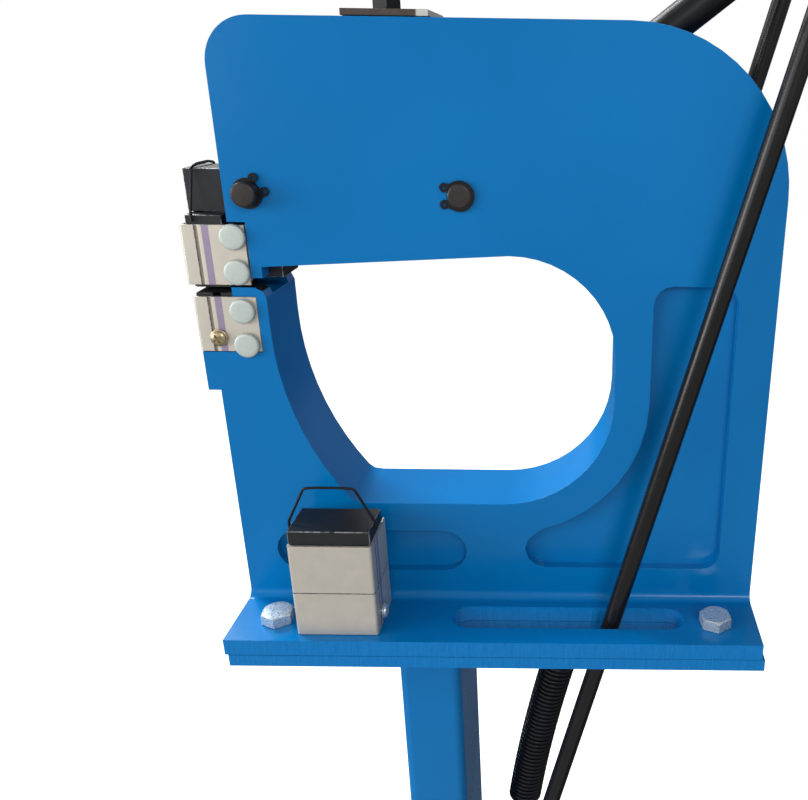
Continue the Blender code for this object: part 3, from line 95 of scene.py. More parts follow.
def start_finish(name, colour, roughness, metallic=0.0):
    """A Principled material and its Object coordinates."""
    made = bpy.data.materials.new(name)
    made.use_nodes = True
    tree = made.node_tree
    shader = tree.nodes["Principled BSDF"]
    shader.inputs["Base Color"].default_value = linear(colour)
    shader.inputs["Roughness"].default_value = roughness
    shader.inputs["Metallic"].default_value = metallic
    place = add(tree, "ShaderNodeTexCoord").outputs["Object"]
    return made, tree, shader, place


def vary_colour(tree, shader, amount, dark, light):
    """The base colour runs from dark to light as amount goes from 0 to 1."""
    mix = add(tree, "ShaderNodeMix", {0: amount, 6: linear(dark), 7: linear(light)}, data_type="RGBA")
    tree.links.new(mix.outputs[2], shader.inputs["Base Color"])
    return mix.outputs[2]


def vary_roughness(tree, shader, amount, smooth, rough):
    spread = add(tree, "ShaderNodeMapRange", {0: amount, 3: smooth, 4: rough})
    tree.links.new(spread.outputs[0], shader.inputs["Roughness"])


def relief(tree, shader, height, depth, under=None):
    """Bumps of a real depth; another relief may lie under this one."""
    bump = add(tree, "ShaderNodeBump", {"Height": height, "Distance": depth, "Strength": 1.0})
    if under:
        tree.links.new(under.outputs[0], bump.inputs["Normal"])
    tree.links.new(bump.outputs[0], shader.inputs["Normal"])
    return bump


def layered_finish(name, colour, roughness, metallic, layers, shades, gloss, reliefs=(), specular=0.5):
    """Noise layers (size or sizes in mm, detail) drive the colour, the roughness and reliefs in mm."""
    made, tree, shader, place = start_finish(name, colour, roughness, metallic)
    noise = {}
    for label, (size, detail) in layers.items():
        vector, scale = place, 1.0
        if isinstance(size, tuple):
            vector = add(tree, "ShaderNodeMapping", {"Vector": place, "Scale": [per_mm(s) for s in size]})
        else:
            scale = per_mm(size)
        noise[label] = add(tree, "ShaderNodeTexNoise", {"Vector": vector, "Scale": scale, "Detail": detail})
    vary_colour(tree, shader, noise[shades[0]], *shades[1:])
    vary_roughness(tree, shader, noise[gloss[0]], *gloss[1:])
    under = None
    for label, depth in reliefs:
        under = relief(tree, shader, noise[label], depth * MM, under)
    shader.inputs["Specular IOR Level"].default_value = specular
    return made


print("blue in linear light:", [round(c, 3) for c in linear("#0068B4")])

# %% [markdown]
# ## Blue gloss enamel over a ground casting
# The frame is cast iron with its big faces filled, ground flat and sprayed with a gloss alkyd enamel.
# Sprayed enamel shows a slight orange peel of about 3 mm, over longer waves that the filler leaves, and
# its colour varies a little with film thickness. Noise at those two sizes makes both, as shallow bumps.
# Paint is a dielectric, so metallic stays 0 and the gloss comes from a low roughness. Most finishes here
# are written the same way: named noise layers, then which of them moves colour, roughness and relief.

# %% Blue enamel
ENAMEL_GLOSS = 0.22
BLUE_ENAMEL = layered_finish(
    "blue_gloss_enamel", "#0063AE", 0.2, 0.0,
    {"film": (90, 3.0), "cloud": (35, 2.0), "waves": (28, 1.0), "peel": (3.2, 2.0)},
    ("film", "#0065A6", "#0076B9"), ("cloud", 0.13, 0.3), [("waves", 0.22), ("peel", 0.028)], ENAMEL_GLOSS)
print("blue enamel: peel every 3.2 mm, waves every 28 mm")

# %% [markdown]
# ## The same enamel on torch-cut edges
# The flange and the stand's top plate are cut from plate by a torch, which leaves fine drag lines from top
# to bottom of each edge, about 1 mm apart. Paint follows them. The noise is squeezed along X and Y and
# drawn long in Z, so that the lines stand upright on every edge, whichever way it runs.

# %% Blue enamel on cut edges
BLUE_CUT_EDGE = layered_finish(
    "blue_enamel_on_torch_cut_edge", "#006DBB", 0.26, 0.0,
    {"drag": ((1.1, 1.1, 14), 3.0), "pits": (2.4, 3.0)},
    ("drag", "#0062A6", "#0680C8"), ("pits", 0.18, 0.38), [("pits", 0.12), ("drag", 0.22)], ENAMEL_GLOSS)
print("cut edges: drag lines every 1.1 mm")

# %% [markdown]
# ## Satin stainless sheet
# The jaw covers are bent from 1.2 mm stainless sheet with a 2B mill finish, which is a warm, even satin
# with fine rolling lines. Stretched noise gives the lines and a second, larger noise the hand marks.
# A level band of the joggle is painted mauve as a reflection; its groove is painted dark as shade, and
# rougher.

# %% Stainless finishes
STAINLESS = layered_finish(
    "stainless_2b_sheet", "#C8C2B7", 0.46, 0.6, {"grain": ((0.5, 0.5, 9), 2.0), "hands": (7, 3.0)},
    ("hands", "#C0BAAF", "#D0CABF"), ("grain", 0.42, 0.54), [("grain", 0.012)])
# The mauve band on the joggle is a painted reflection stripe.
STAINLESS_PAINTED_REFLECTION_BAND = layered_finish(
    "stainless_mauve_band_painted_reflection", "#9A8BA3", 0.46, 0.6, {"film": (4, 3.0)},
    ("film", "#93849D", "#A193A9"), ("film", 0.42, 0.52))
# The joggle's groove is painted dark brown-grey as the shade in that recess.
STAINLESS_GROOVE_PAINTED_SHADE = layered_finish(
    "stainless_joggle_groove_painted_shade", "#7D7064", 0.5, 0.6, {"shade_mottle": (1.5, 3.0)},
    ("shade_mottle", "#6A5E53", "#8E8176"), ("shade_mottle", 0.42, 0.6))
print("stainless: rolling lines every 0.5 mm")

# %% [markdown]
# ## Zinc plated fasteners
# Bright zinc is plated on the flange bolts. Barrel plating leaves them lightly speckled, cool grey and
# half dull. The big flat heads of the clamp bolts were tumbled duller still, nearly white. Yellow
# chromated zinc covers the one small screw. Cells of 0.8 mm make the speckle.

# %% Zinc finishes
ZINC, tree, shader, place = start_finish("bright_zinc_plate", "#C4CFD6", 0.3, 0.7)
cells = add(tree, "ShaderNodeTexVoronoi", {"Vector": place, "Scale": per_mm(0.8)})
speckle = add(tree, "ShaderNodeSeparateColor", {0: cells.outputs["Color"]})
vary_colour(tree, shader, speckle.outputs[0], "#B9C5CB", "#D3DDE1")
vary_roughness(tree, shader, speckle.outputs[1], 0.24, 0.42)
relief(tree, shader, speckle.outputs[0], 0.004 * MM)
DULL_ZINC = layered_finish(
    "tumbled_zinc_plate", "#B9C1BC", 0.55, 0.35, {"scuffs": (1.6, 4.0)},
    ("scuffs", "#AFB8B3", "#C2CAC5"), ("scuffs", 0.48, 0.66), [("scuffs", 0.04)])
YELLOW_ZINC = layered_finish(
    "yellow_chromated_zinc", "#A39473", 0.36, 0.8, {"film": (1.8, 3.0)},
    ("film", "#8A7B5C", "#B9AB8A"), ("film", 0.26, 0.44), [("film", 0.02)])
print("zinc: speckle cells every 0.8 mm")

# %% [markdown]
# ## Black oxide, die steel and bare steel
# Hot black oxide turns hardened steel blue-black and leaves it half matt with a trace of oil. It rubs off
# first along the edges, so an edge finish of worn bright steel is given to the narrow faces that soften
# each edge. The pivot pins' ends are brown-grey, as turned steel is after an old oxide bath.

# %% Black oxide, worn edges, bare steel
BLACK_OXIDE = layered_finish(
    "black_oxide_steel", "#121317", 0.38, 0.5, {"oil": (5, 4.0)},
    ("oil", "#0D0E11", "#191A1E"), ("oil", 0.3, 0.48), [("oil", 0.03)])
PIN_STEEL = layered_finish(
    "brown_oxide_pin_steel", "#332E2D", 0.42, 0.5, {"tarnish": (3, 3.0)},
    ("tarnish", "#292524", "#3D3735"), ("tarnish", 0.36, 0.5), [("tarnish", 0.02)])
DIE_BLOCK = layered_finish(
    "blackened_tool_steel", "#1F2125", 0.5, 0.3, {"lay": ((0.6, 6, 6), 3.0), "stain": (9, 3.0)},
    ("stain", "#141619", "#222528"), ("lay", 0.44, 0.6), [("lay", 0.012)])
BARE_STEEL = layered_finish(
    "milled_bare_steel", "#8B9094", 0.32, 1.0, {"marks": ((0.9, 9, 9), 2.0)},
    ("marks", "#767B80", "#A7ABAE"), ("marks", 0.26, 0.42), [("marks", 0.015)])

WORN_EDGE, tree, shader, place = start_finish("worn_bright_edge", "#8E9195", 0.34, 0.9)
rubbed = add(tree, "ShaderNodeTexNoise", {"Vector": place, "Scale": per_mm(2.5), "Detail": 4.0})
sharper = add(tree, "ShaderNodeMapRange", {0: rubbed, 1: 0.38, 2: 0.62})
vary_colour(tree, shader, sharper, "#3A3C40", "#A0A2A4")
vary_roughness(tree, shader, rubbed, 0.28, 0.48)

print("black oxide, tool steel, worn edge, pin steel and bare steel made")

# %% [markdown]
# ## Black paint and the stop's half-bare steel
# Rods, bar and pedal are painted with a gloss black that has a slightly warm, thin film. The stop plate
# came from brown-black hot-rolled strip, and its right-hand end was ground bare. One material holds both:
# a step on the Object X coordinate, at the place where the grinding stopped, mixes the two.

# %% Black paint and stop plate
BLACK_PAINT = layered_finish(
    "black_gloss_paint", "#0F0F10", 0.24, 0.0, {"sags": (12, 3.0), "peel": (2.6, 2.0)},
    ("sags", "#0B0B0C", "#161414"), ("sags", 0.18, 0.34), [("peel", 0.02)], 0.3)

BARE_END_X = 9.7 * MM
STOP_STEEL, tree, shader, place = start_finish("hot_rolled_stop_steel", "#4B423E", 0.45, 0.7)
across = add(tree, "ShaderNodeSeparateXYZ", {0: place})
ragged = add(tree, "ShaderNodeTexNoise", {"Vector": place, "Scale": per_mm(3), "Detail": 3.0})
wander = add(tree, "ShaderNodeMath", {0: ragged, 1: 1.5 * MM, 2: across.outputs[0]},
             operation="MULTIPLY_ADD")
bare = add(tree, "ShaderNodeMapRange", {0: wander, 1: BARE_END_X, 2: BARE_END_X + 0.8 * MM})
scale_skin = vary_colour(tree, shader, ragged, "#3F3734", "#564C47")
polished = add(tree, "ShaderNodeMix", {0: bare, 6: scale_skin, 7: linear("#D2D2CF")},
               data_type="RGBA")
tree.links.new(polished.outputs[2], shader.inputs["Base Color"])
vary_roughness(tree, shader, bare, 0.48, 0.3)
relief(tree, shader, ragged, 0.03 * MM)
print("stop plate: bare beyond X", round(BARE_END_X / MM, 1), "mm")

# %% [markdown]
# ## Turning CAD solids into pieces with real edges
# No real edge is sharp: castings are fettled to about 1.8 mm, plates and blocks are broken by a file to a
# few tenths. A copy of the CAD mesh is merged, its flat faces are joined, each sharp edge gets a bevel
# weight, and the Bevel modifier rounds it. The narrow faces it makes can take their own finish, which is
# how worn edges are drawn. Shading normals are then weighted by face area, so that a large flat face
# stays flat right up to its rounded rim. Both modifiers are applied, and the piece ends as a plain mesh.


# %% Pieces from CAD solids
def piece(name, shape, *finishes):
    """A bmesh as an object at the origin."""
    mesh = bpy.data.meshes.new(name)
    shape.to_mesh(mesh)
    shape.free()
    for finish in finishes:
        mesh.materials.append(finish)
    item = bpy.data.objects.new(name, mesh)
    bpy.context.scene.collection.objects.link(item)
    return item


def evaluated_copy(item):
    """The object's shape with its modifiers applied, which are then removed."""
    bpy.context.view_layer.update()
    mesh = bpy.data.meshes.new_from_object(item.evaluated_get(bpy.context.evaluated_depsgraph_get()))
    item.modifiers.clear()
    item.data = mesh
    return item


def cad_shape(node):
    """A merged copy of a CAD node's triangles, with its flat faces joined."""
    shape = bmesh.new()
    shape.from_mesh(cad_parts[node].data)
    bmesh.ops.remove_doubles(shape, verts=shape.verts, dist=0.01 * MM)
    bmesh.ops.dissolve_limit(shape, angle_limit=math.radians(0.4), verts=shape.verts, edges=shape.edges)
    return shape


# %% Soft edges and shading
def soften(item, radius, weigh=None, worn=None, segments=2):
    """Rounds edges sharper than 30 degrees: the outer ones, or as weigh(edge middle, convex) says."""
    shape = bmesh.new()
    shape.from_mesh(item.data)
    weights = shape.edges.layers.float.new("bevel_weight_edge")
    for edge in shape.edges:
        if len(edge.link_faces) == 2:
            turn = edge.calc_face_angle_signed(0.0)
            if abs(turn) > math.radians(30):
                centre = (edge.verts[0].co + edge.verts[1].co) / 2
                edge[weights] = weigh(centre, turn > 0) if weigh else float(turn > 0)
    shape.to_mesh(item.data)
    shape.free()
    rounding = item.modifiers.new("edges", "BEVEL")
    rounding.limit_method = "WEIGHT"
    rounding.width = radius
    rounding.segments = segments
    if worn:
        item.data.materials.append(worn)
        rounding.material = len(item.data.materials) - 1
    return evaluated_copy(item)


def shade(item, crease):
    """Smooth shading, with edges sharper than crease degrees kept."""
    item.data.polygons.foreach_set("use_smooth", [True] * len(item.data.polygons))
    item.data.set_sharp_from_angle(angle=math.radians(crease))


def settle(item, body, nodes, crease=32):
    """Shades the piece, ties it to its CAD body and hides the nodes that it stands for."""
    shade(item, crease)
    by_area = item.modifiers.new("shading by face area", "WEIGHTED_NORMAL")
    by_area.keep_sharp = True
    evaluated_copy(item)
    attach(item, body)
    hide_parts(*nodes)
    return item


def from_cad(node, body, finish, radius, worn=None, crease=32):
    """A softened copy of one CAD node, ready in place."""
    item = soften(piece(node + "_look", cad_shape(node), finish), radius, worn=worn)
    return settle(item, body, [node], crease)


def settle_drawn(node, shape, body, finish, crease=32):
    """A drawn shape, its faces turned outward, in place of one CAD node."""
    bmesh.ops.recalc_face_normals(shape, faces=shape.faces)
    return settle(piece(node + "_look", shape, finish), body, [node], crease)


# %% [markdown]
# ## Drawing turned parts, wires and cuts
# Pins, screws and drills are turned, so a profile is spun about their axis. Rods and wires keep one round
# section, so a circle is swept along a path whose corners are drawn as curves, as a bender leaves them.
# Holes and screw recesses are cut with a Boolean modifier, which is applied at once.


# %% Turned parts and wires
def circle(steps):
    return [math.tau * step / steps for step in range(steps)]


def skin(shape, rings):
    """Faces from each ring of vertices to the next; a ring of one vertex is a tip."""
    steps = max(len(ring) for ring in rings)
    for below, above in zip(rings, rings[1:]):
        for step in range(steps):
            after = (step + 1) % steps
            corners = [below[step % len(below)], below[after % len(below)],
                       above[after % len(above)], above[step % len(above)]]
            shape.faces.new([c for place, c in enumerate(corners) if c not in corners[:place]])


def spin(shape, profile, placing, steps=40):
    """Turns (radius, height) pairs about the placing's Z axis; a profile may end where it began."""
    closed = profile[0] == profile[-1]
    rings = []
    for radius, height in profile[:-1] if closed else profile:
        angles = circle(steps) if radius > 0 else [0.0]
        rings.append([shape.verts.new(placing @ Vector((radius * math.cos(a), radius * math.sin(a), height)))
                      for a in angles])
    skin(shape, rings + rings[:1] if closed else rings)
    return shape


def sweep(shape, points, radius, sides=16):
    """A round wire through points, with flat closed ends."""
    points = [Vector(point) for point in points]
    heading = (points[1] - points[0]).normalized()
    side = heading.orthogonal().normalized()
    rings = []
    for index, point in enumerate(points):
        ahead = points[min(index + 1, len(points) - 1)] - points[max(index - 1, 0)]
        ahead.normalize()
        side = heading.rotation_difference(ahead) @ side
        heading = ahead
        up = heading.cross(side)
        rings.append([shape.verts.new(point + radius * (math.cos(a) * side + math.sin(a) * up))
                      for a in circle(sides)])
    skin(shape, rings)
    shape.faces.new(list(reversed(rings[0])))
    shape.faces.new(rings[-1])
    return shape


def rounded_path(points, radius, steps=6):
    """The same path with each inner corner drawn as a curve."""
    points = [Vector(point) for point in points]
    path = [points[0]]
    for before, here, after in zip(points, points[1:], points[2:]):
        reach = min(radius, (before - here).length * 0.45, (after - here).length * 0.45)
        start = here + (before - here).normalized() * reach
        end = here + (after - here).normalized() * reach
        for step in range(steps + 1):
            share = step / steps
            path.append(start.lerp(here, share).lerp(here.lerp(end, share), share))
    path.append(points[-1])
    return path


# %% Places and cuts
def along_y(centre):
    """Local Z runs towards -Y, the side that the circlips and bolt heads are seen from."""
    return Matrix.Translation(centre) @ Matrix.Rotation(math.radians(90), 4, "X")


def middle(node):
    low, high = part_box(node)
    return (low + high) / 2


def carve(item, tool):
    """Cuts the tool's shape out of the piece."""
    blade = piece("tool", tool)
    cut = item.modifiers.new("cut", "BOOLEAN")
    cut.operation = "DIFFERENCE"
    cut.solver = "EXACT"
    cut.object = blade
    evaluated_copy(item)
    bpy.data.objects.remove(blade)


def bored(item, centre, radius, half_length):
    """Drills one clearance hole along Y."""
    bar = Vector((0.0, 1.0, 0.0)).to_track_quat("Z", "Y").to_matrix().to_4x4()
    carve(item, spin(bmesh.new(), [(0, -half_length), (radius, -half_length), (radius, half_length),
                                   (0, half_length)], Matrix.Translation(centre) @ bar, steps=24))


print("mesh helpers ready")

# %% [markdown]
# ## The C-frame casting
# One heavy casting carries everything: flange, post, throat, arm and back. Its outline comes from the CAD
# node. Outside edges are fettled to about 1.8 mm and painted. Round the jaws the edges are machined and
# stay crisp. The pockets' inner corners have the fillets that a sand mould needs, so their concave edges
# are softened too. The flange's edges are torch-cut and take the striated enamel, and the post's top is
# left bare because the lower jaw seats on it.

# %% Casting
ROUND = 1.8 * MM
MACHINED_SHARE = 0.22
FLANGE_SHARE = 0.35
POCKET_FLOOR_Y = 16.5 * MM
FLANGE_Z = (840.0 * MM, 851.0 * MM)
JAW_END = Vector((-70 * MM, 0.0, 995 * MM))
PIN_CLEARANCE = 9 * MM
SEAT_X = (-106 * MM, JAW_END.x)
SEAT_Z = (1030 * MM, 1040 * MM)
pins = [middle("front_pivot_pin"), middle("rear_pivot_pin")]


def casting_edges(at, convex):
    """How much of the full rounding an edge of the casting gets."""
    if min(math.hypot(at.x - pin.x, at.z - pin.z) for pin in pins) < PIN_CLEARANCE:
        return 0.0
    if not convex:
        return 1.0 if abs(abs(at.y) - POCKET_FLOOR_Y) < 0.3 * MM else 0.0
    if at.x < JAW_END.x and at.z > JAW_END.z:
        return MACHINED_SHARE
    return FLANGE_SHARE if at.z < FLANGE_Z[1] else 1.0


casting = piece("casting_look", cad_shape("head_casting"), BLUE_ENAMEL, BLUE_CUT_EDGE, BARE_STEEL)
soften(casting, ROUND, casting_edges, segments=3)
for face in casting.data.polygons:
    at = face.center
    if FLANGE_Z[0] < at.z < FLANGE_Z[1] and abs(face.normal.z) < 0.5:
        face.material_index = 1
    if face.normal.z > 0.9 and SEAT_X[0] < at.x < SEAT_X[1] and SEAT_Z[0] < at.z < SEAT_Z[1]:
        face.material_index = 2
settle(casting, "frame", ["head_casting"])
print("casting:", len(casting.data.polygons), "faces")

# %% [markdown]
# ## The stand: top plate, column, base
# The casting is bolted to a torch-cut top plate of its own size, which is welded to a rectangular tube.
# Plate edges are only broken by 0.6 to 0.8 mm, and they take the striated enamel. The tube has the rounded
# corners of drawn tube in its CAD shape already, and smooth shading across them draws each corner soft.

# %% Stand
for name, radius in (("stand_top_plate", 0.6 * MM), ("base_plate", 0.8 * MM)):
    plate = piece(name + "_look", cad_shape(name), BLUE_ENAMEL, BLUE_CUT_EDGE)
    soften(plate, radius)
    for face in plate.data.polygons:
        if abs(face.normal.z) < 0.5:
            face.material_index = 1
    settle(plate, "frame", [name])
from_cad("stand_column", "frame", BLUE_ENAMEL, 0.4 * MM, crease=40)
print("stand plate, base and column softened")

# %% [markdown]
# ## Hexagon bolts and nuts with Geometry Nodes
# Four hexagon bolts hold the casting down. The same shape repeats, so one Geometry Nodes tree makes it
# from a cylinder: each ring is pushed out to a hexagon and held in by a 30 degree cone, which draws the
# curved chamfer of a forged head, and the shank's rings follow a helix as the thread does. The tree takes
# its places from the vertices of a small mesh, turns each copy by a seeded random angle and realizes it.


# %% Geometry Nodes helpers
def math_of(tree, operation, *values):
    return add(tree, "ShaderNodeMath", enumerate(values), operation=operation).outputs[0]


def new_tree(name, sizes):
    """A Geometry Nodes group with an input for each named size and one for the finish."""
    tree = bpy.data.node_groups.new(name, "GeometryNodeTree")
    for way in ("INPUT", "OUTPUT"):
        tree.interface.new_socket(name="Geometry", in_out=way, socket_type="NodeSocketGeometry")
    for label, value in sizes.items():
        kind = "NodeSocketInt" if isinstance(value, int) else "NodeSocketFloat"
        tree.interface.new_socket(name=label, in_out="INPUT", socket_type=kind).default_value = value
    tree.interface.new_socket(name="Finish", in_out="INPUT", socket_type="NodeSocketMaterial")
    return tree, add(tree, "NodeGroupInput").outputs, partial(math_of, tree)


def end_tree(tree, sizes, geometry):
    """Every tree ends by realizing its copies and giving them their finish."""
    solid = add(tree, "GeometryNodeRealizeInstances", {0: geometry})
    painted = add(tree, "GeometryNodeSetMaterial", {"Geometry": solid, "Material": sizes["Finish"]})
    add(tree, "NodeGroupOutput", {0: painted})
    return tree


def grown(name, places, tree, sizes, edges=()):
    """Runs a tree on vertices at the given places and keeps the plain mesh that it makes."""
    mesh = bpy.data.meshes.new(name)
    mesh.from_pydata([tuple(place) for place in places], list(edges), [])
    item = bpy.data.objects.new(name, mesh)
    bpy.context.scene.collection.objects.link(item)
    growth = item.modifiers.new(tree.name, "NODES")
    growth.node_group = tree
    for socket in tree.interface.items_tree:
        if socket.item_type == "SOCKET" and socket.in_out == "INPUT" and socket.name in sizes:
            growth[socket.identifier] = sizes[socket.name]
    evaluated_copy(item)
    print(name, "-", len(item.data.polygons), "faces")
    return item


def shaped_cylinder(tree, calc, radius_of, height, around, rings):
    """A cylinder from Z 0 up whose radius is a formula of angle and height share."""
    bar = add(tree, "GeometryNodeMeshCylinder",
              {"Vertices": around, "Side Segments": rings, "Radius": 1.0, "Depth": 1.0})
    x, y, z = add(tree, "ShaderNodeSeparateXYZ", {0: add(tree, "GeometryNodeInputPosition")}).outputs
    share = calc("ADD", z, 0.5)
    radius = radius_of(calc("ARCTAN2", y, x), share)
    spot = add(tree, "ShaderNodeCombineXYZ", {
        0: calc("MULTIPLY", x, radius), 1: calc("MULTIPLY", y, radius), 2: calc("MULTIPLY", share, height),
    })
    return add(tree, "GeometryNodeSetPosition", {"Geometry": bar, "Position": spot})


# %% The hexagon tree
HEXAGON = math.radians(60)
CONE_SLOPE = math.tan(math.radians(60))
CROWN_SHARE = 0.96
THREAD_DEPTH_SHARE = 0.9
TURN_SPREAD = 0.15


def hexagon_tree():
    tree, sizes, calc = new_tree("hexagon_fastener", {
        "Flats": 17 * MM, "Head": 6.4 * MM, "Shank": 5 * MM, "Length": 30 * MM, "Pitch": 1.5 * MM,
        "Rings": 24, "Both Ends": 0.0, "Seed": 1, "Turn": 0.0,
    })
    half = calc("MULTIPLY", sizes["Flats"], 0.5)

    def head_radius(angle, share):
        turned = calc("FLOORED_MODULO", calc("ADD", angle, HEXAGON / 2), HEXAGON)
        hexagon = calc("DIVIDE", half, calc("COSINE", calc("SUBTRACT", turned, HEXAGON / 2)))
        crown = calc("MULTIPLY", half, CROWN_SHARE)
        from_top = calc("MULTIPLY", calc("SUBTRACT", 1.0, share), sizes["Head"])
        upper = calc("MULTIPLY_ADD", from_top, CONE_SLOPE, crown)
        from_seat = calc("MULTIPLY", share, sizes["Head"])
        free = calc("SUBTRACT", 1.0, sizes["Both Ends"])
        lower = calc("ADD", calc("MULTIPLY_ADD", from_seat, CONE_SLOPE, crown), free)
        return calc("MINIMUM", hexagon, calc("MINIMUM", upper, lower))

    def thread_radius(angle, share):
        down = calc("MULTIPLY", share, sizes["Length"])
        phase = calc("ADD", calc("DIVIDE", down, sizes["Pitch"]), calc("DIVIDE", angle, math.tau))
        depth = calc("MULTIPLY", sizes["Pitch"], THREAD_DEPTH_SHARE)
        return calc("SUBTRACT", sizes["Shank"], calc("MULTIPLY", calc("PINGPONG", phase, 0.5), depth))

    head = shaped_cylinder(tree, calc, head_radius, sizes["Head"], 60, 14)
    down = calc("MULTIPLY", sizes["Length"], -1.0)
    shank = shaped_cylinder(tree, calc, thread_radius, down, 24, sizes["Rings"])
    right_way = add(tree, "GeometryNodeFlipFaces", {0: shank})
    both = add(tree, "GeometryNodeJoinGeometry")
    tree.links.new(head.outputs[0], both.inputs[0])
    tree.links.new(right_way.outputs[0], both.inputs[0])
    chance = add(tree, "FunctionNodeRandomValue", {2: -TURN_SPREAD, 3: TURN_SPREAD, "Seed": sizes["Seed"]})
    turn = add(tree, "ShaderNodeCombineXYZ", {2: calc("ADD", chance.outputs[1], sizes["Turn"])})
    copies = add(tree, "GeometryNodeInstanceOnPoints",
                 {"Points": sizes["Geometry"], "Instance": both, "Rotation": turn})
    return end_tree(tree, sizes, copies)


HEXAGON_TREE = hexagon_tree()

# %% [markdown]
# The bolt heads sit on the flange and the nuts under the stand plate. The nut is the same tree with both
# ends chamfered and no shank of its own to speak of: the bolt's thread runs through it and shows below.

# %% Flange bolts and nuts
FLANGE_TOP = 850.3 * MM
NUT_LIFT = 1.8 * MM
BOLT_END, NUT_THREAD_END = 6 * MM, 2.6 * MM
M10 = {"Flats": 16 * MM, "Shank": 4.95 * MM, "Pitch": 1.5 * MM, "Finish": ZINC}


def seats(nodes, height):
    return [(middle(node).x, middle(node).y, height) for node in nodes]


BOLTS, NUTS = [[f"flange_{kind}_{n}" for n in (1, 2, 3, 4)] for kind in ("bolt", "nut")]
bolt_low, bolt_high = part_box(BOLTS[0])
nut_low, nut_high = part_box(NUTS[0])
nut_face = nut_low.z + NUT_LIFT
bolts = grown("flange_bolts_look", seats(BOLTS, FLANGE_TOP), HEXAGON_TREE, {
    **M10, "Head": bolt_high.z - FLANGE_TOP, "Length": FLANGE_TOP - bolt_low.z - BOLT_END,
    "Rings": 12, "Both Ends": 0.0, "Seed": 4, "Turn": 0.0,
})
settle(bolts, "frame", BOLTS, crease=28)
nuts = grown("flange_nuts_look", seats(NUTS, nut_face), HEXAGON_TREE, {
    **M10, "Head": nut_high.z - nut_face, "Length": nut_face - bolt_low.z - NUT_THREAD_END,
    "Rings": 24, "Both Ends": 1.0, "Seed": 9, "Turn": 0.2,
})
settle(nuts, "frame", NUTS, crease=28)

# %% [markdown]
# ## Pivot pins and circlips
# Two 12 mm pins carry the levers. Each was turned, chamfered and grooved, and an external circlip with two
# lugs holds it at each face of the casting. A pin is a body of revolution, so its profile is spun about
# the pin's own axis. The front pin stands further out on the near side.

# %% Pins and circlips
PIN_RADIUS = 6 * MM
GROOVE_AT = 22.8 * MM
GROOVE_WIDTH = 1.6 * MM
GROOVE_DEPTH = 0.5 * MM


def pin_profile(near, far):
    radius, groove, outer = PIN_RADIUS, PIN_RADIUS - GROOVE_DEPTH, GROOVE_AT + GROOVE_WIDTH
    half = [(0, near), (radius - 1.1 * MM, near), (radius - 0.5 * MM, near - 0.25 * MM),
            (radius, near - 0.9 * MM), (radius, outer), (groove, outer), (groove, GROOVE_AT),
            (radius, GROOVE_AT)]
    return half + [(radius, -GROOVE_AT), (groove, -GROOVE_AT), (groove, -outer), (radius, -outer),
                   (radius, -far + 0.5 * MM), (radius - 0.5 * MM, -far), (0, -far)]


for name in ("front_pivot_pin", "rear_pivot_pin"):
    low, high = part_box(name)
    centre = Vector((middle(name).x, 0.0, middle(name).z))
    shape = spin(bmesh.new(), pin_profile(-low.y, high.y), along_y(centre), steps=48)
    settle_drawn(name, shape, "frame", PIN_STEEL)
    for side in ("near", "far"):
        from_cad(f"{name}_circlip_{side}", "frame", BLACK_OXIDE, 0.18 * MM)
print("pins and circlips made")

# %% [markdown]
# ## Levers, bar and stop
# The levers are black-oxidised forgings in the arm's slot, with corners rounded by about 0.8 mm, and the
# long bar has the same finish. The stop is a strip of hot-rolled steel across the slot with a hexagon
# screw and locknut through it, and these two come from the hexagon tree again.

# %% Levers and stop
LEVER_CORNER = 0.8 * MM
from_cad("main_lever", "main_lever", BLACK_OXIDE, LEVER_CORNER, WORN_EDGE)
from_cad("inner_lever", "inner_lever", BLACK_OXIDE, LEVER_CORNER, WORN_EDGE)
from_cad("lever_bar", "main_lever", BLACK_OXIDE, 0.5 * MM)
from_cad("stop_plate", "frame", STOP_STEEL, 0.35 * MM)

M8 = {"Flats": 13 * MM, "Pitch": 1.25 * MM, "Finish": BLACK_OXIDE}
STOP_HEAD = 6 * MM
nut_low, nut_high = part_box("stop_locknut")
screw_low, screw_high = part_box("stop_screw")
stop_x = middle("stop_locknut").x
locknut = grown("stop_locknut_look", [(stop_x, 0.0, nut_low.z)], HEXAGON_TREE, {
    **M8, "Head": nut_high.z - nut_low.z, "Shank": 4.15 * MM, "Length": 0.25 * MM,
    "Rings": 2, "Both Ends": 1.0, "Seed": 2, "Turn": 0.3,
})
settle(locknut, "frame", ["stop_locknut"], crease=28)
stop_screw = grown("stop_screw_look", [(stop_x, 0.0, screw_high.z - STOP_HEAD)], HEXAGON_TREE, {
    **M8, "Head": STOP_HEAD, "Shank": 3.9 * MM, "Length": screw_high.z - STOP_HEAD - screw_low.z,
    "Rings": 240, "Both Ends": 0.0, "Seed": 5, "Turn": 0.1,
})
settle(stop_screw, "stop_screw", ["stop_screw"], crease=28)
print("levers and stop made")

# %% [markdown]
# ## Rods, cross bar and their pins
# Each rod is a 10 mm bar welded to an eye at both ends. Sweeping a circle along a straight path gives the
# bar, and a spun ring with broken edges gives each eye with a real hole for its pin.

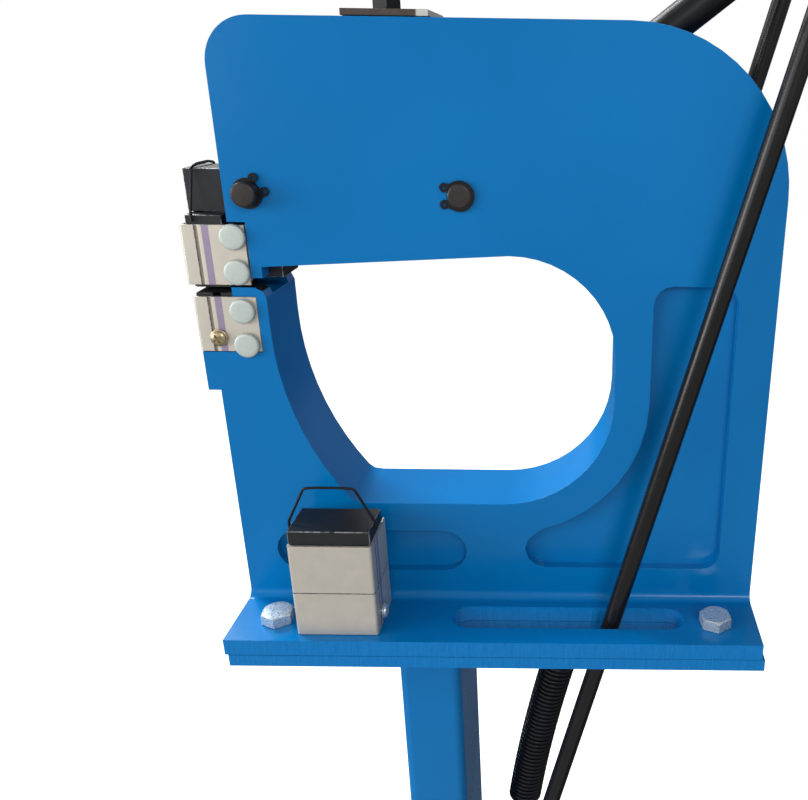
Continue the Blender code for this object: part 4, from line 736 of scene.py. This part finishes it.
# %% Rods
ROD_RADIUS = 5 * MM
EYE_OUTER, EYE_BORE = 8 * MM, 4.3 * MM
EYE_EDGE = 0.5 * MM
WELD_AT = 6.2 * MM
EYE_RING = [(EYE_BORE, -ROD_RADIUS), (EYE_OUTER - EYE_EDGE, -ROD_RADIUS),
            (EYE_OUTER, -ROD_RADIUS + EYE_EDGE), (EYE_OUTER, ROD_RADIUS - EYE_EDGE),
            (EYE_OUTER - EYE_EDGE, ROD_RADIUS), (EYE_BORE, ROD_RADIUS), (EYE_BORE, -ROD_RADIUS)]
rod_top = middle("rod_top_pin")
rod_foot = middle("rod_foot_pin")
for name in ("rod_near", "rod_far"):
    y = middle(name).y
    top = Vector((rod_top.x, y, rod_top.z))
    foot = Vector((rod_foot.x, y, rod_foot.z))
    run = (top - foot).normalized()
    shape = sweep(bmesh.new(), [foot + run * WELD_AT, top - run * WELD_AT], ROD_RADIUS, sides=32)
    for end in (foot, top):
        spin(shape, EYE_RING, along_y(end), steps=48)
    settle_drawn(name, shape, "rods", BLACK_PAINT)

# %% Cross bar and pins
BAR_RADIUS = 4 * MM
BAR_EDGE = 0.4 * MM
bar_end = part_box("spring_cross_bar")[1].y
bar_at = middle("spring_cross_bar")
shape = spin(bmesh.new(), [
    (0, -bar_end), (BAR_RADIUS - BAR_EDGE, -bar_end), (BAR_RADIUS, -bar_end + BAR_EDGE),
    (BAR_RADIUS, bar_end - BAR_EDGE), (BAR_RADIUS - BAR_EDGE, bar_end), (0, bar_end),
], along_y(bar_at), steps=32)
settle_drawn("spring_cross_bar", shape, "rods", BLACK_PAINT)
for name, body in (("rod_top_pin", "main_lever"), ("rod_foot_pin", "rods"), ("pedal_pivot_pin", "frame")):
    from_cad(name, body, ZINC, 0.45 * MM)
print("rods run", round((rod_top - rod_foot).length / MM), "mm between pins")

# %% [markdown]
# ## The return spring
# A close-wound extension spring hangs from a lug and pulls the rods up. Its shape follows a rule: a helix
# round a slightly bowed line. The tree samples that line, steps round it once per pitch, and sweeps the
# wire along the result. The real coil stretches as the treadle goes down.


# %% Spring tree
def coil_tree():
    tree, sizes, calc = new_tree("close_wound_coil", {
        "Coil Radius": 9.75 * MM, "Wire Radius": 1.25 * MM, "Turns": 46, "Steps Per Turn": 20,
    })
    path = add(tree, "GeometryNodeMeshToCurve", {0: sizes["Geometry"]})
    count = calc("MULTIPLY_ADD", sizes["Turns"], sizes["Steps Per Turn"], 1.0)
    line = add(tree, "GeometryNodeCurvePrimitiveLine")
    steps = add(tree, "GeometryNodeResampleCurve", {"Curve": line, "Count": count})
    share = add(tree, "GeometryNodeSplineParameter").outputs["Factor"]
    on_path = add(tree, "GeometryNodeSampleCurve", {"Curves": path, "Factor": share},
                  mode="FACTOR")
    turned = calc("MULTIPLY", calc("MULTIPLY", share, sizes["Turns"]), math.tau)
    across = (0.0, 1.0, 0.0)
    ahead = add(tree, "ShaderNodeVectorMath", {0: on_path.outputs["Tangent"], 1: across},
                operation="CROSS_PRODUCT")
    spot = on_path.outputs["Position"]
    for axis, wave in ((across, "COSINE"), (ahead, "SINE")):
        reach = calc("MULTIPLY", calc(wave, turned), sizes["Coil Radius"])
        offset = add(tree, "ShaderNodeVectorMath", {0: axis, "Scale": reach}, operation="SCALE")
        spot = add(tree, "ShaderNodeVectorMath", {0: spot, 1: offset})
    helix = add(tree, "GeometryNodeSetPosition", {"Geometry": steps, "Position": spot})
    wire = add(tree, "GeometryNodeCurvePrimitiveCircle", {"Resolution": 8, "Radius": sizes["Wire Radius"]})
    coil = add(tree, "GeometryNodeCurveToMesh",
               {"Curve": helix, "Profile Curve": wire, "Fill Caps": True})
    return end_tree(tree, sizes, coil)


# %% Spring coil
WIRE = 1.25 * MM
COIL_RADIUS = 9.75 * MM
PITCH = 3.05 * MM
BOW = 6.2 * MM
EYE = Vector((86 * MM, 0.0, 825.2 * MM))
HOOK_LENGTH = 14 * MM
COIL_SHARE = 0.66
LINE_STEPS = 24


def spring_line(z):
    """The spring's bowed centre line between the lug and the cross bar."""
    share = (EYE.z - z) / (EYE.z - bar_at.z)
    return Vector((EYE.x + (bar_at.x - EYE.x) * share - BOW * 4 * share * (1 - share), 0.0, z))


coil_top = EYE.z - 10 * MM
turns = round((EYE.z - bar_at.z) * COIL_SHARE / PITCH)
coil_foot = coil_top - turns * PITCH
heights = [coil_top + (coil_foot - coil_top) * step / LINE_STEPS for step in range(LINE_STEPS + 1)]
spring = grown("return_spring_look", [spring_line(z) for z in heights], coil_tree(), {
    "Coil Radius": COIL_RADIUS, "Wire Radius": WIRE, "Turns": turns, "Steps Per Turn": 20,
    "Finish": BLACK_OXIDE,
}, edges=[(step, step + 1) for step in range(LINE_STEPS)])
print("spring:", turns, "turns")


# %% Spring ends
def offset_by(at, y, z):
    return at + Vector((0.0, y * MM, z * MM))


start = spring_line(coil_top) + Vector((0.0, COIL_RADIUS, 0.0))
finish = spring_line(coil_foot) + Vector((0.0, COIL_RADIUS, 0.0))
upper_hook = [start, offset_by(start, -0.5, 3.0), offset_by(EYE, 4.6, -3.4), offset_by(EYE, 2.5, 0.0),
              offset_by(EYE, -2.5, 0.0), offset_by(EYE, -4.6, -3.6)]
lower_hook = [finish, offset_by(finish, -0.6, -3.0), offset_by(spring_line(coil_foot - 8 * MM), 4, 0.0),
              spring_line(coil_foot - HOOK_LENGTH)]
shape = bmesh.new()
shape.from_mesh(spring.data)
for hook in (upper_hook, lower_hook):
    sweep(shape, rounded_path(hook, 3 * MM), WIRE, sides=10)
bmesh.ops.recalc_face_normals(shape, faces=shape.faces)
shape.to_mesh(spring.data)
shape.free()
shade(spring, 50)
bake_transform(spring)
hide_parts("return_spring")

# %% [markdown]
# The lower hook is a wire that comes down the spring's line and wraps round the cross bar. It has a body
# of its own, since it swings on the bar as the rods go down.

# %% Spring hook
hook_reach = BAR_RADIUS + WIRE + 1.0 * MM
hook_top = spring_line(coil_foot - HOOK_LENGTH) + Vector((0.0, 0.0, -2 * WIRE - 0.3 * MM))
above_bar = spring_line(bar_at.z + 12 * MM)
bend = [bar_at + hook_reach * Vector((-math.cos(a), 0.0, math.sin(a)))
        for a in [math.radians(120 - 15 * step) for step in range(15)]]
hook = sweep(bmesh.new(), [hook_top, hook_top.lerp(above_bar, 0.5), above_bar] + bend, WIRE, sides=12)
settle_drawn("spring_hook", hook, "spring_hook", BLACK_OXIDE)
print("hook bend:", len(bend), "points round the bar")

# %% [markdown]
# ## Pedal
# Two flat arms straddle the column and carry a treadle of five-bar tread plate, so that a wet boot does
# not slip. The raised lozenges repeat, so a tree sets them out on a grid that stops short of the edges and
# turns every second one the other way. The grip dies' teeth are laid out by the same function later.


# %% Patch tree
def patch_tree(name, sizes, motif, lay_axis):
    """Sets a small motif out on a grid and lays the patch, turned about one axis, at each given point."""
    tree, sizes, calc = new_tree(name, sizes)
    grid = add(tree, "GeometryNodeMeshGrid", {
        "Size X": sizes["Length"], "Size Y": sizes["Width"], "Vertices X": sizes["Along"],
        "Vertices Y": sizes["Across"],
    })
    shape, angle, scale = motif(tree, sizes, calc)
    turn = add(tree, "ShaderNodeCombineXYZ", {2: angle})
    copies = add(tree, "GeometryNodeInstanceOnPoints", {
        "Points": grid, "Instance": shape, "Rotation": turn, "Scale": scale,
    })
    patch = add(tree, "GeometryNodeRealizeInstances", {0: copies})
    lay = add(tree, "ShaderNodeCombineXYZ", {lay_axis: sizes["Lay"]})
    laid = add(tree, "GeometryNodeInstanceOnPoints", {
        "Points": sizes["Geometry"], "Instance": patch, "Rotation": lay,
    })
    return end_tree(tree, sizes, laid)


def lozenge(tree, sizes, calc):
    """A flattened ball, turned the other way at every second point of the grid."""
    index = add(tree, "GeometryNodeInputIndex")
    row = calc("FLOOR", calc("DIVIDE", index, sizes["Across"]))
    parity = calc("FLOORED_MODULO", calc("ADD", index, row), 2.0)
    angle = calc("MULTIPLY_ADD", parity, math.radians(90), math.radians(45))
    ball = add(tree, "GeometryNodeMeshUVSphere", {"Segments": 10, "Rings": 6, "Radius": 0.5})
    scale = add(tree, "ShaderNodeCombineXYZ", {0: sizes["Bar Length"], 1: sizes["Bar Width"],
                                               2: calc("MULTIPLY", sizes["Bar Height"], 2.0)})
    return ball, angle, scale


TREAD_TREE = patch_tree("tread_plate_bars", {
    "Length": 56 * MM, "Width": 100 * MM, "Along": 5, "Across": 9, "Bar Length": 9 * MM,
    "Bar Width": 2.6 * MM, "Bar Height": 1.0 * MM, "Lay": 0.0,
}, lozenge, 1)

# %% Pedal pieces
SINK = 0.55 * MM
for name in ("pedal_arm_near", "pedal_arm_far"):
    from_cad(name, "pedal", BLACK_PAINT, 0.6 * MM)
treadle = piece("treadle_look", cad_shape("treadle"), BLACK_PAINT)
low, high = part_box("treadle")
tread_face = max(treadle.data.polygons, key=lambda face: face.normal.z * face.area)
tread_normal = tread_face.normal.copy()
tilt = math.atan2(tread_normal.x, tread_normal.z)
corners = [treadle.data.vertices[index].co.copy() for index in tread_face.vertices]
centre = sum(corners, Vector()) / len(corners)
along_x = max(c.x for c in corners) - min(c.x for c in corners)
across_y = high.y - low.y
settle(soften(treadle, 0.8 * MM), "pedal", ["treadle"])
bars = grown("treadle_bars_look", [centre - tread_normal * SINK], TREAD_TREE, {
    "Length": along_x - 12 * MM, "Width": across_y - 13 * MM, "Along": 6, "Across": 11,
    "Bar Length": 9 * MM, "Bar Width": 2.6 * MM, "Bar Height": 1.0 * MM, "Lay": tilt,
    "Finish": BLACK_PAINT,
})
bars.data.polygons.foreach_set("use_smooth", [True] * len(bars.data.polygons))
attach(bars, "pedal")
print("treadle", round(along_x / MM), "by", round(across_y / MM), "mm, tilt", round(math.degrees(tilt), 1))

# %% [markdown]
# ## Jaw covers
# Each jaw is wrapped in a U of 1.2 mm stainless sheet, closed at the front and open at the back. Seen from
# the side the sheet is joggled: a flat strip, a groove painted dark as shade, a thin light line, a level band
# painted mauve as a reflection, and then the flat that the clamp bolts press on. The plan outline is drawn
# once with these steps, raised into a prism, and its faces take their finish from where they lie. The top
# and bottom edges are sheared and rubbed bright, so the bevel gives them the worn finish.

# %% Cover builder
SHEET = 1.2 * MM
BEND_RADIUS = 1.6 * MM
COVER_EDGE = 0.16 * MM
PLAIN, GROOVE = 0, 2
# Along the side, in mm: distance back, distance in, and the finish (0 plain, 1 mauve band of painted
# reflection, 2 groove of painted shade).
JOGGLE = [
    (7.5, 0.0, 0), (7.9, 0.3, 2), (8.7, 0.3, 2), (9.2, 0.05, 0), (11.2, 0.05, 1), (14.8, 0.05, 1),
    (15.4, 0.0, 0),
]


def cover_outline(low, high):
    """(x, y, finish) round the U, from the near back corner by the front to the far one, then inside."""
    half, corner, x = high.y, BEND_RADIUS, low.x
    side = [(x + back * MM, inward * MM, finish) for back, inward, finish in JOGGLE] + [(high.x, 0.0, PLAIN)]
    bend = [math.radians(18 * step) for step in range(6)]
    return (
        [(back, inward - half, finish) for back, inward, finish in reversed(side)]
        + [(x + corner - corner * math.sin(a), -half + corner - corner * math.cos(a), PLAIN) for a in bend]
        + [(x + corner - corner * math.cos(a), half - corner + corner * math.sin(a), PLAIN) for a in bend]
        + [(back, half - inward, finish) for back, inward, finish in side]
        + [(high.x, half - SHEET, PLAIN), (x + SHEET, half - SHEET, PLAIN),
           (x + SHEET, -half + SHEET, PLAIN), (high.x, -half + SHEET, PLAIN)]
    )


def jaw_cover(name, low, high, placing=Matrix.Identity(4)):
    """A joggled U: its front faces local -X; low and high are its local corners."""
    outline = cover_outline(low, high)
    shape = bmesh.new()
    floor, roof = [[shape.verts.new(placing @ Vector((x, y, z))) for x, y, finish in outline]
                   for z in (low.z, high.z)]
    for index in range(len(outline)):
        after = (index + 1) % len(outline)
        wall = shape.faces.new((floor[index], floor[after], roof[after], roof[index]))
        here, there = outline[index][2], outline[after][2]
        # Each wall takes the plain sheet, the mauve band of painted reflection, or the groove's painted
        # shade.
        wall.material_index = here if here == there else GROOVE if GROOVE in (here, there) else PLAIN
    shape.faces.new(list(reversed(floor)))
    shape.faces.new(roof)
    bmesh.ops.recalc_face_normals(shape, faces=shape.faces)
    return soften(piece(name + "_look", shape, STAINLESS, STAINLESS_PAINTED_REFLECTION_BAND, STAINLESS_GROOVE_PAINTED_SHADE),
                  COVER_EDGE, worn=WORN_EDGE)


# %% Covers on the machine
CLAMP_HOLE, PAN_HOLE = 2.8 * MM, 2.3 * MM
clamp_at = {name: middle(name) for name in ("upper_clamp_bolt_1", "upper_clamp_bolt_2",
                                            "lower_clamp_bolt_1", "lower_clamp_bolt_2")}
pan_at = middle("lower_pan_screw")
for jaw, body in (("upper", "jaw_slide"), ("lower", "frame")):
    name = f"{jaw}_jaw_cover"
    cover = jaw_cover(name, *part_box(name))
    for bolt, at in clamp_at.items():
        if bolt.startswith(jaw):
            bored(cover, at, CLAMP_HOLE, 40 * MM)
    if jaw == "lower":
        bored(cover, (pan_at.x, -22 * MM, pan_at.z), PAN_HOLE, 6 * MM)
    settle(cover, body, [name])
print("covers made, joggle at", [step[0] for step in JOGGLE], "mm")

# %% [markdown]
# ## Slide, die blocks and grip dies
# The slide and the blocks are ground tool steel, blackened, with edges rubbed bright. The grip dies bite
# the sheet with rows of small pyramid teeth. There are hundreds of teeth, so each has only five faces, and
# one tree lays them out on a grid just inside the die's working face.

# %% Blocks
from_cad("jaw_slide", "jaw_slide", DIE_BLOCK, 0.4 * MM, WORN_EDGE)
from_cad("upper_die_block", "jaw_slide", DIE_BLOCK, 0.45 * MM, WORN_EDGE)
from_cad("lower_die_block", "frame", DIE_BLOCK, 0.45 * MM, WORN_EDGE)


# %% Teeth tree
def tooth(tree, sizes, calc):
    """A pyramid whose square foot lies square to the grid."""
    reach = calc("MULTIPLY", sizes["Pitch"], 0.68)
    cone = add(tree, "GeometryNodeMeshCone", {
        "Vertices": 4, "Radius Top": 0.0, "Radius Bottom": reach, "Depth": sizes["Height"],
    })
    return cone, math.radians(45), (1.0, 1.0, 1.0)


TEETH_TREE = patch_tree("grip_die_teeth", {
    "Length": 16 * MM, "Width": 17 * MM, "Along": 13, "Across": 14, "Pitch": 1.3 * MM,
    "Height": 0.4 * MM, "Lay": 0.0,
}, tooth, 0)

# %% Grip dies
TOOTH = 0.4 * MM
TOOTH_PITCH = 1.3 * MM
DIE_MARGIN = 2.2 * MM
for jaw in ("upper", "lower"):
    for side in ("near", "far"):
        name, body = f"{jaw}_grip_die_{side}", f"{jaw}_grip_{side}"
        low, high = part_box(name)
        working = low.z if jaw == "upper" else high.z
        sink = TOOTH if jaw == "upper" else -TOOTH
        shape = cad_shape(name)
        for vert in shape.verts:
            if abs(vert.co.z - working) < 0.05 * MM:
                vert.co.z += sink
        die = soften(piece(name + "_look", shape, DIE_BLOCK), 0.3 * MM, worn=WORN_EDGE)
        settle(die, body, [name])
        length, width = high.x - low.x - DIE_MARGIN, high.y - low.y - DIE_MARGIN
        centre = (low + high) / 2
        teeth = grown(name + "_teeth", [(centre.x, centre.y, working + sink / 2)], TEETH_TREE, {
            "Length": length, "Width": width, "Along": int(length / TOOTH_PITCH) + 1,
            "Across": int(width / TOOTH_PITCH) + 1, "Pitch": TOOTH_PITCH, "Height": TOOTH,
            "Lay": math.pi if jaw == "upper" else 0.0, "Finish": DIE_BLOCK,
        })
        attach(teeth, body)

# %% [markdown]
# ## Clamp bolts, pan screw and bails
# The clamp bolts end in large flat heads, 13 mm across, slightly domed with a rolled rim. The single pan
# screw has a spring washer and a cross recess. The bails are bent from black wire, about 1.5 mm thick.

# %% Clamp bolts
CLAMP_HEAD = 6.5 * MM
CLAMP_SEAT = 22.8 * MM


def clamp_profile(top):
    """A bolt through both walls of a cover, with the same head at each end."""
    rim = [(0.0, 0.0), (3.9, 0.02), (5.4, 0.12), (6.05, 0.32), (6.42, 0.8), (6.5, 1.3)]
    half = [(radius * MM, top - drop * MM) for radius, drop in rim]
    half += [(CLAMP_HEAD, CLAMP_SEAT + 0.3 * MM), (CLAMP_HEAD - 0.3 * MM, CLAMP_SEAT), (2.5 * MM, CLAMP_SEAT)]
    return half + [(radius, -height) for radius, height in reversed(half)]


for name, at in clamp_at.items():
    shape = spin(bmesh.new(), clamp_profile(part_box(name)[1].y), along_y((at.x, 0.0, at.z)), steps=56)
    body = "jaw_slide" if name.startswith("upper") else "frame"
    settle_drawn(name, shape, body, DULL_ZINC, crease=50)

# %% Screws with a cross recess
PAN_HEAD = 4.1 * MM
PAN_RISE = 2.8 * MM
PAN_SEAT = 22.55 * MM
RECESS = (5.0 * MM, 0.95 * MM, 2.4 * MM, 1.0)


def cross_screw(name, body, finish, placing, turn):
    """A pan head with its washer, seated along local Z, and a cross cut into the head."""
    top, seat, head = PAN_SEAT + PAN_RISE, PAN_SEAT, PAN_HEAD
    shape = spin(bmesh.new(), [
        (0, top), (head * 0.45, top - 0.06 * MM), (head * 0.75, top - 0.35 * MM),
        (head * 0.92, top - 0.9 * MM), (head * 0.95, top - 1.5 * MM), (head * 0.9, seat + 0.85 * MM),
        (head + 0.1 * MM, seat + 0.8 * MM), (head + 0.4 * MM, seat + 0.6 * MM),
        (head + 0.4 * MM, seat + 0.15 * MM), (head + 0.25 * MM, seat), (2.0 * MM, seat),
        (2.0 * MM, seat - 7 * MM), (0, seat - 7 * MM),
    ], placing)
    bmesh.ops.recalc_face_normals(shape, faces=shape.faces)
    item = piece(name + "_look", shape, finish)
    for angle in (turn, turn + math.pi / 2):
        tool = bmesh.new()
        bmesh.ops.create_cube(tool, size=1.0)
        arm = Matrix.Translation((0, 0, top)) @ Matrix.Rotation(angle, 4, "Z") @ Matrix.Diagonal(RECESS)
        bmesh.ops.transform(tool, matrix=placing @ arm, verts=tool.verts)
        carve(item, tool)
    return settle(item, body, [name], crease=35)


cross_screw("lower_pan_screw", "frame", YELLOW_ZINC, along_y((pan_at.x, 0.0, pan_at.z)), 0.5)

# %% Bails
BAIL_WIRE = 0.72 * MM
BAIL_HALF = 0.9 * MM


def bail(name, body, placing, half_width, top_half, sag):
    """Short feet, two raked legs and a slightly sagging bar, in the placing's YZ plane."""
    low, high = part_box(name)
    inner, rise = half_width - BAIL_HALF, high.z - low.z - 2 * BAIL_HALF
    half = [(-BAIL_HALF, inner), (3.2 * MM, inner), (rise - 1.0 * MM, top_half + 0.4 * MM),
            (rise - sag, top_half * 0.5)]
    points = [(0, -y, z) for z, y in half] + [(0, y, z) for z, y in reversed(half)]
    path = rounded_path([placing @ Vector(point) for point in points], 1.6 * MM)
    wire = sweep(bmesh.new(), path, BAIL_WIRE, sides=12)
    settle_drawn(name, wire, body, BLACK_OXIDE, crease=50)


low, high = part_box("upper_jaw_bail")
bail("upper_jaw_bail", "jaw_slide",
     Matrix.Translation(((low.x + high.x) / 2, 0.0, low.z + BAIL_HALF)), high.y, 13.2 * MM, 0.0)
print("clamp bolts, pan screw and bail made")

# %% [markdown]
# ## The spare jaw set
# A second jaw set stands on the flange, closed up, with its front towards the near side: two covers, two
# blocks, a bail and a screw on each side. It is the same build turned a quarter round, so the same
# functions make it with another placing. The two front faces are left plain.

# %% Spare set
spare_x = middle("spare_lower_cover").x
quarter = Matrix.Translation((spare_x, 0.0, 0.0)) @ Matrix.Rotation(math.radians(90), 4, "Z")
for name in ("spare_lower_cover", "spare_upper_cover"):
    low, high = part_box(name)
    half = (high.x - low.x) / 2
    cover = jaw_cover(name, Vector((low.y, -half, low.z)), Vector((high.y, half, high.z)), quarter)
    settle(cover, "spare_jaws", [name])
from_cad("spare_lower_block", "spare_jaws", DIE_BLOCK, 0.45 * MM, WORN_EDGE)
from_cad("spare_upper_block", "spare_jaws", DIE_BLOCK, 0.5 * MM, WORN_EDGE)
low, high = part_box("spare_bail")
bail("spare_bail", "spare_jaws",
     Matrix.Translation((0.0, (low.y + high.y) / 2, low.z + BAIL_HALF)) @ quarter,
     (high.x - low.x) / 2, 12.8 * MM, 0.5 * MM)
for name, side in (("spare_screw_left", 180), ("spare_screw_right", 0)):
    at = middle(name)
    placing = (Matrix.Translation((spare_x, at.y, at.z)) @ Matrix.Rotation(math.radians(side), 4, "Z")
               @ Matrix.Rotation(math.radians(90), 4, "Y"))
    cross_screw(name, "spare_jaws", ZINC, placing, 0.3)
print("spare set at X", round(spare_x / MM, 1))

# %% [markdown]
# ## Floor, light and camera
# The floor is a plain pale sheet that reaches far behind the object. It glows a little towards the camera,
# so that it stays an even pale grey where the lamps don't reach, and polished faces see it darker. The
# world is white where the camera looks straight past the object, dimmer in mirrors and moderate as ambient
# light. Four soft panels light the object: a large one high behind on the left, as a window is, a level
# one on the left, and two dim ones in front, for the haze on the enamel and for the shadows.

# %% Floor
FLOOR_CORNERS = ((-6.0, -0.45), (6.0, -0.45), (6.0, 7.0), (-6.0, 7.0))
FLOOR_GLOW = 0.8
FLOOR_PAINT, tree, shader, place = start_finish("pale_studio_floor", "#C9C9C8", 0.7)
clouds = add(tree, "ShaderNodeTexNoise", {"Vector": place, "Scale": per_mm(900), "Detail": 2.0})
pale = vary_colour(tree, shader, clouds, "#C6C6C5", "#CCCCCB")
path = add(tree, "ShaderNodeLightPath")
shader.inputs["Emission Color"].default_value = linear("#FFFFFF")
seen = math_of(tree, "MULTIPLY", path.outputs["Is Camera Ray"], FLOOR_GLOW)
tree.links.new(seen, shader.inputs["Emission Strength"])
mirrored = add(tree, "ShaderNodeMix", {0: path.outputs["Is Glossy Ray"], 6: pale, 7: linear("#3C3C3C")},
               data_type="RGBA")
tree.links.new(mirrored.outputs[2], shader.inputs["Base Color"])
shape = bmesh.new()
shape.faces.new([shape.verts.new((x, y, 0.0)) for x, y in FLOOR_CORNERS])
floor = piece("studio_floor", shape, FLOOR_PAINT)

# %% World
world = bpy.data.worlds.new("studio")
bpy.context.scene.world = world
world.use_nodes = True
tree = world.node_tree
background = tree.nodes["Background"]
rays = add(tree, "ShaderNodeLightPath")
towards = add(tree, "ShaderNodeSeparateXYZ", {0: add(tree, "ShaderNodeTexCoord").outputs["Generated"]})
backdrop = add(tree, "ShaderNodeMapRange", {0: towards.outputs[1], 1: -0.3, 2: 0.3, 3: 0.55, 4: 0.25})
ambient = add(tree, "ShaderNodeMapRange", {0: towards.outputs[0], 1: -0.9, 2: 0.9, 3: 0.6, 4: 0.22})
glossy = add(tree, "ShaderNodeMix", {0: rays.outputs["Is Glossy Ray"], 2: ambient, 3: backdrop},
             data_type="FLOAT")
straight = math_of(tree, "MAXIMUM", rays.outputs["Is Camera Ray"], rays.outputs["Is Transmission Ray"])
level = add(tree, "ShaderNodeMix", {0: straight, 2: glossy, 3: 1.0}, data_type="FLOAT")
tree.links.new(level.outputs[0], background.inputs["Strength"])
background.inputs["Color"].default_value = linear("#FFFFFF")


# %% Lamps
def panel(name, place, aim, width, height, watts):
    """A white area lamp at a place, turned to its aim."""
    lamp = bpy.data.lights.new(name, "AREA")
    lamp.shape = "RECTANGLE"
    lamp.size = width
    lamp.size_y = height
    lamp.energy = watts
    item = bpy.data.objects.new(name, lamp)
    item.location = place
    item.rotation_euler = (Vector(aim) - Vector(place)).to_track_quat("-Z", "Y").to_euler()
    bpy.context.scene.collection.objects.link(item)


panel("window_behind", (-1.45, 1.25, 2.6), (-0.02, 0.0, 0.95), 1.2, 1.0, 95.0)
panel("left", (-1.7, -0.62, 1.25), (0.0, 0.0, 1.05), 0.8, 0.9, 21.0)
panel("haze", (-1.15, -1.3, 1.45), (0.0, 0.0, 1.05), 1.0, 0.9, 6.0)
panel("fill", (0.62, -1.7, 1.85), (0.0, 0.0, 1.0), 0.7, 0.6, 13.0)

# %% [markdown]
# The camera looks down at the near side of the head from about half a metre, as a person standing beside
# the machine does. It is rolled by less than a degree, and the lens is shifted sideways.

# %% Camera
EYE_POINT = (0.0867, -0.4437, 1.1371)
LENS, SENSOR, SHIFT_X = 37.418, 36.0, -0.2254
PITCH_DOWN = math.radians(21.036)
ROLL = math.radians(0.844)
YAW = math.radians(0.414)
ahead = Vector((math.sin(YAW), math.cos(YAW), 0.0))
upright = Vector((0.0, 0.0, 1.0))
forward = ahead * math.cos(PITCH_DOWN) - upright * math.sin(PITCH_DOWN)
level_up = ahead * math.sin(PITCH_DOWN) + upright * math.cos(PITCH_DOWN)
level_right = Vector((math.cos(YAW), -math.sin(YAW), 0.0))
up = level_up * math.cos(ROLL) - level_right * math.sin(ROLL)
right = level_right * math.cos(ROLL) + level_up * math.sin(ROLL)
lens = bpy.data.cameras.new("view")
lens.lens = LENS
lens.sensor_width = SENSOR
lens.shift_x = SHIFT_X
camera = bpy.data.objects.new("view", lens)
camera.matrix_world = Matrix.Translation(EYE_POINT) @ Matrix((right, up, -forward)).transposed().to_4x4()
bpy.context.scene.collection.objects.link(camera)
bpy.context.scene.camera = camera
bpy.context.scene.view_settings.view_transform = "Standard"
print("camera:", LENS, "mm lens, looking", round(math.degrees(PITCH_DOWN)), "degrees down")
